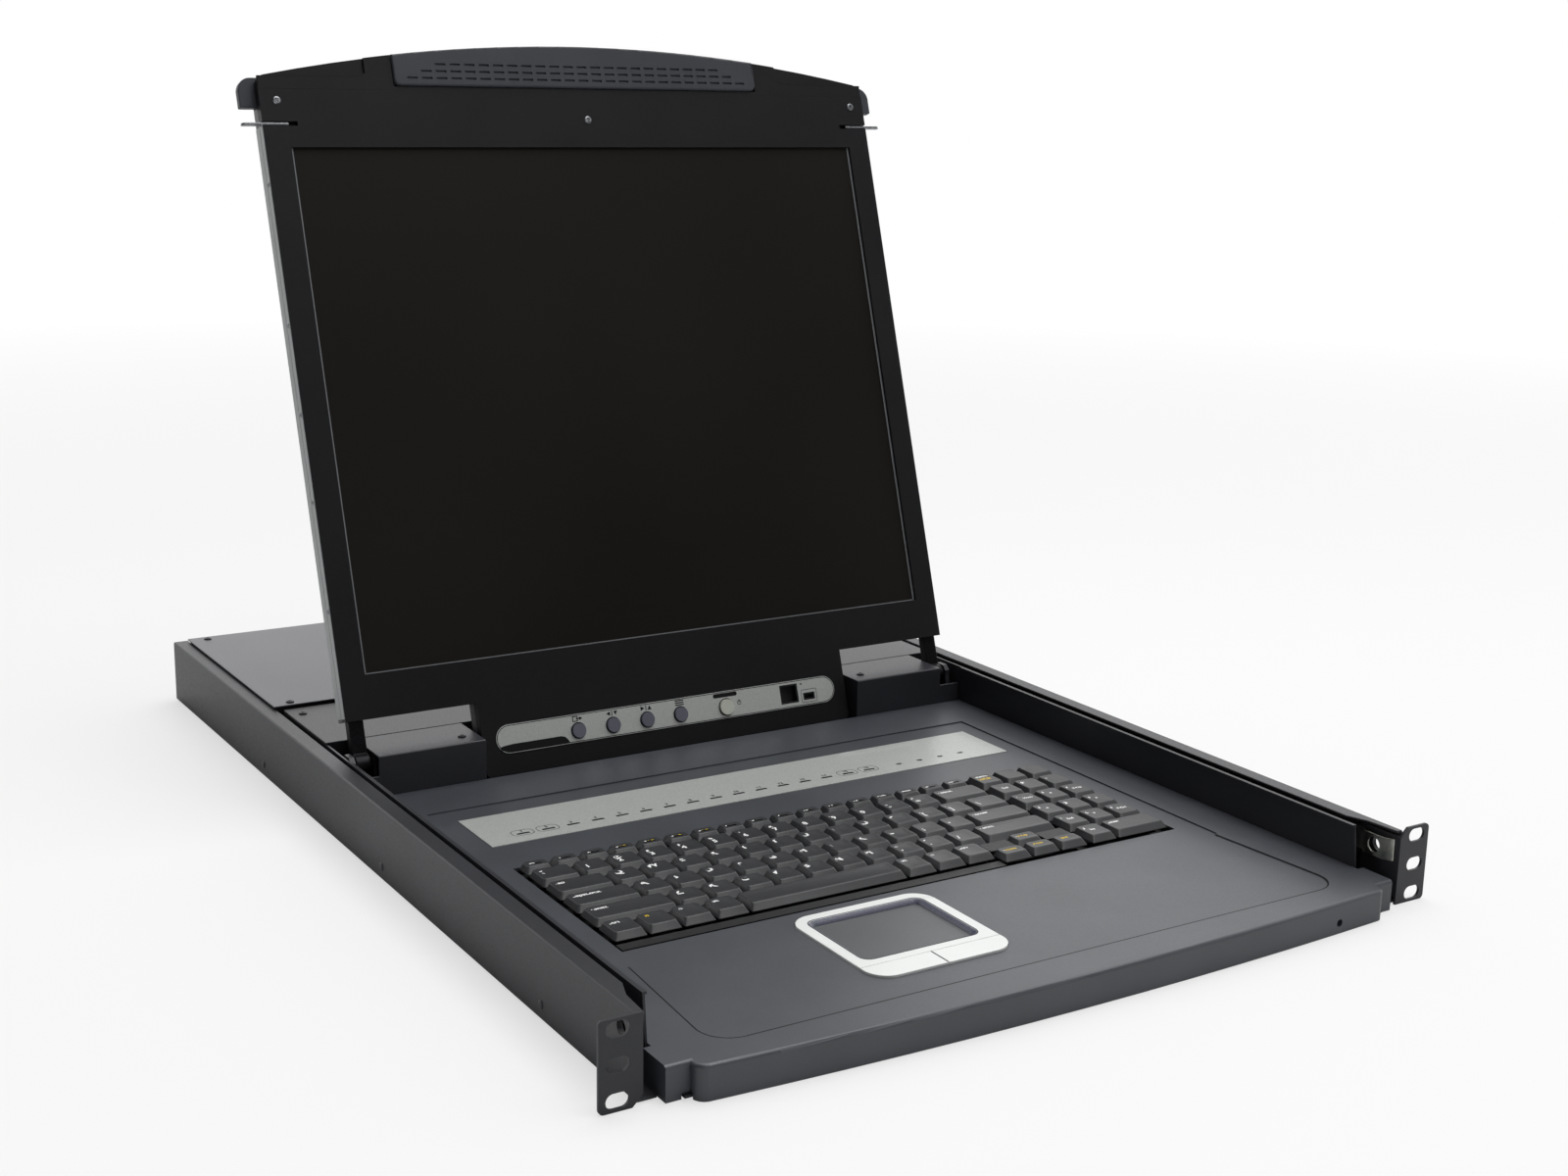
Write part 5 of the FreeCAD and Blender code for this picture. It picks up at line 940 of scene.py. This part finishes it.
for name, (body, slot, head, finish, turn, spots) in fasteners.items():
    places = [turn @ Vector(place) for place, facing in spots]
    facings = [turn.to_3x3().normalized() @ Vector(facing) for place, facing in spots]
    piece = linkMesh(name, pointMesh(name, places, "facing", facings), None)
    heads = piece.modifiers.new("fasteners", "NODES")
    heads.node_group = fastenerTree
    heads[fastenerSockets["Head"]] = head
    heads[fastenerSockets["Seed"]] = fastenerSeed
    heads[fastenerSockets["Material"]] = materials[finish]
    bakeModifiers(piece)
    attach(piece, body)
print("screws and rivets placed")


# Flat pieces cut to an outline on the lid, with a small bevel all round
def lidPlate(name, outline, front, rear, width, finish):
    # outline holds (across, up) points in mm, front and rear are mm behind the hinge plane
    shape = bmesh.new()
    face = shape.faces.new([shape.verts.new(Vector((x, front, z))) for x, z in outline])
    shape.normal_update()
    if face.normal.y > 0:
        face.normal_flip()
    grown = bmesh.ops.extrude_face_region(shape, geom=[face])
    moved = [item for item in grown["geom"] if isinstance(item, bmesh.types.BMVert)]
    bmesh.ops.translate(shape, vec=Vector((0, rear - front, 0)), verts=moved)
    bmesh.ops.recalc_face_normals(shape, faces=shape.faces)
    near = 1e-6
    edges = [edge for edge in shape.edges if all(abs(vert.co.y - front) < near for vert in edge.verts)]
    bmesh.ops.bevel(shape, geom=edges, offset=width, segments=2, profile=0.5, affect="EDGES")
    bmesh.ops.transform(shape, matrix=lidTurn, verts=shape.verts)
    mesh = bpy.data.meshes.new(name)
    shape.to_mesh(mesh)
    shape.free()
    piece = linkMesh(name, mesh, materials[finish])
    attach(piece, "lid")


# Brow of the bezel: the raised field ends in a line that sweeps up beside the grip
browSet = {
    "line": ((204.7, 394.3), (150.0, 394.9), (144.5, 395.3), (140.0, 396.8), (136.4, 399.3), (133.2, 402.3),
             (130.0, 405.0), (127.0, 406.8), (124.6, 407.4)),
    "foot": 386.6, "proud": 0.06, "rear": -3.2, "bevel": 0.3, "shadow": 0.9, "lift": 0.03,
}
browLine, shadow = browSet["line"], browSet["shadow"]
browSheet = ("lid", "inkDark", lidPlane(browSet["proud"] - lidSet["face"] + browSet["lift"]))
for name, side in (("left", -1), ("right", 1)):
    outline = [(side * x, z) for x, z in browLine]
    outline += [(side * browLine[-1][0], browSet["foot"]), (side * browLine[0][0], browSet["foot"])]
    lidPlate("brow_" + name, outline, lidSet["face"] - browSet["proud"], browSet["rear"], browSet["bevel"],
             "bezel")
    # the shadow line along that edge
    for (x0, z0), (x1, z1) in zip(browLine, browLine[1:]):
        quad = [(side * x0, z0 - shadow), (side * x1, z1 - shadow), (side * x1, z1), (side * x0, z0)]
        printShape(browSheet, quad[::-side])


# Side rails of the lid: two pale coated strips with the seam between them; their pale colour is a painted
# highlight for the light that the lid's dark sides catch
railSet = {"low": 27.0, "high": 366.0, "depths": ((-4.3, 0.5), (1.1, 7.3)), "thick": 0.35, "bevel": 0.1}
for name, side in (("left", -1), ("right", 1)):
    for part, (front, rear) in zip(("front", "rear"), railSet["depths"]):
        inner, outer = side * lidSet["half"], side * (lidSet["half"] + railSet["thick"])
        lidPlate("side_rail_%s_%s" % (part, name),
                 [(inner, railSet["low"]), (outer, railSet["low"]), (outer, railSet["high"]),
                  (inner, railSet["high"])], front, rear, railSet["bevel"], "side")
print("brow and side rails made")


# Every ink on every body becomes one piece
for (body, ink), (verts, faces) in inkSheets.items():
    mesh = bpy.data.meshes.new("print")
    mesh.from_pydata(verts, [], faces)
    sheet = linkMesh(body + "_" + ink, mesh, materials[ink])
    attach(sheet, body)
print("printed sheets:", len(inkSheets))


# Light and stage
stageSet = {
    "floorSize": 40.0,
    "floorHex": "#E0E0E0",
    "middle": (0.0, 0.3),
    "floorFade": (0.9, 2.6),        # metres from the object's middle over which the floor fades to white
    "floorWhite": 0.62,             # share of white near the object; the rest shows its shadow
    "backdrop": (0.6, 0.8, 0.0),    # a white backdrop hangs behind and to the right
    "backdropEdge": (-0.3, 0.6),    # from the dim front of the room to the backdrop, as cosines
    "roomFront": 0.08,
    "roomRear": 1.45,
}
# softboxes: place, what they look at, size in metres and watts
lampSet = {
    "softboxTop": ((0.5, 0.15, 2.3), (0.0, 0.25, 0.0), (1.7, 1.4), 30.0),
    "softboxFront": ((0.8, -1.3, 2.4), (0.0, 0.2, 0.0), (1.2, 0.8), 10.0),
    "softboxLow": ((-0.5, -2.4, 1.0), (0.0, 0.2, 0.0), (1.2, 0.7), 6.0),
    "softboxRearLeft": ((-2.4, 2.2, 0.7), (-0.2, 0.4, 0.1), (2.4, 1.5), 6.0),
}


def makeStage():
    lowest = cadBox[0][2]
    half = stageSet["floorSize"] / 2
    mesh = bpy.data.meshes.new("floor")
    corners = ((-half, -half), (half, -half), (half, half), (-half, half))
    mesh.from_pydata([(x, y, lowest) for x, y in corners], [], [(0, 1, 2, 3)])
    material, tree = newMaterial("paleFloor")
    path = addNode(tree, "ShaderNodeLightPath")
    place = addNode(tree, "ShaderNodeTexCoord").outputs["Object"]
    middle = addNode(tree, "ShaderNodeVectorMath",
                     {"operation": "SUBTRACT", 1: (*stageSet["middle"], lowest)}, {0: place})
    away = addNode(tree, "ShaderNodeVectorMath", {"operation": "LENGTH"}, {0: middle.outputs["Vector"]})
    fade = addNode(tree, "ShaderNodeMapRange", {"From Min": stageSet["floorFade"][0],
                                                "From Max": stageSet["floorFade"][1],
                                                "To Min": stageSet["floorWhite"], "To Max": 1.0},
                   {"Value": away.outputs["Value"]})
    matt = addNode(tree, "ShaderNodeBsdfDiffuse", {"Color": hexColour(stageSet["floorHex"])})
    white = addNode(tree, "ShaderNodeEmission", {"Color": (1, 1, 1, 1), "Strength": 1.0})
    seen = addNode(tree, "ShaderNodeMath", {"operation": "MULTIPLY"},
                   {0: path.outputs["Is Camera Ray"], 1: fade.outputs["Result"]})
    both = addNode(tree, "ShaderNodeMixShader", None,
                   {0: seen.outputs["Value"], 1: matt.outputs["BSDF"], 2: white.outputs["Emission"]})
    addNode(tree, "ShaderNodeOutputMaterial", None, {"Surface": both.outputs["Shader"]})
    linkMesh("floor", mesh, material)


def makeWorld():
    world = bpy.data.worlds.new("studio")
    bpy.context.scene.world = world
    world.use_nodes = True
    tree = world.node_tree
    tree.nodes.clear()
    path = addNode(tree, "ShaderNodeLightPath")
    seen = addNode(tree, "ShaderNodeMath", {"operation": "MAXIMUM"},
                   {0: path.outputs["Is Camera Ray"], 1: path.outputs["Is Transmission Ray"]})
    way = addNode(tree, "ShaderNodeVectorMath", {"operation": "DOT_PRODUCT", 1: stageSet["backdrop"]},
                  {0: addNode(tree, "ShaderNodeTexCoord").outputs["Generated"]})
    room = addNode(tree, "ShaderNodeMapRange", {
        "From Min": stageSet["backdropEdge"][0], "From Max": stageSet["backdropEdge"][1],
        "To Min": stageSet["roomFront"], "To Max": stageSet["roomRear"]}, {"Value": way.outputs["Value"]})
    dim = addNode(tree, "ShaderNodeBackground", {"Color": (1, 1, 1, 1)}, {"Strength": room.outputs["Result"]})
    white = addNode(tree, "ShaderNodeBackground", {"Color": (1, 1, 1, 1), "Strength": 1.0})
    both = addNode(tree, "ShaderNodeMixShader", None,
                   {0: seen.outputs["Value"], 1: dim.outputs["Background"], 2: white.outputs["Background"]})
    addNode(tree, "ShaderNodeOutputWorld", None, {"Surface": both.outputs["Shader"]})


def makeLamp(name, place, target, size, power):
    data = bpy.data.lights.new(name, "AREA")
    data.shape = "RECTANGLE"
    data.size, data.size_y = size
    data.energy = power
    lamp = bpy.data.objects.new(name, data)
    lamp.visible_camera = False
    bpy.context.scene.collection.objects.link(lamp)
    lamp.location = place
    lamp.rotation_euler = (Vector(target) - Vector(place)).to_track_quat("-Z", "Y").to_euler()


makeStage()
makeWorld()
for name, setting in lampSet.items():
    makeLamp(name, *setting)
scene = bpy.context.scene
scene.view_settings.view_transform = "Standard"
print("stage, world and lamps made")
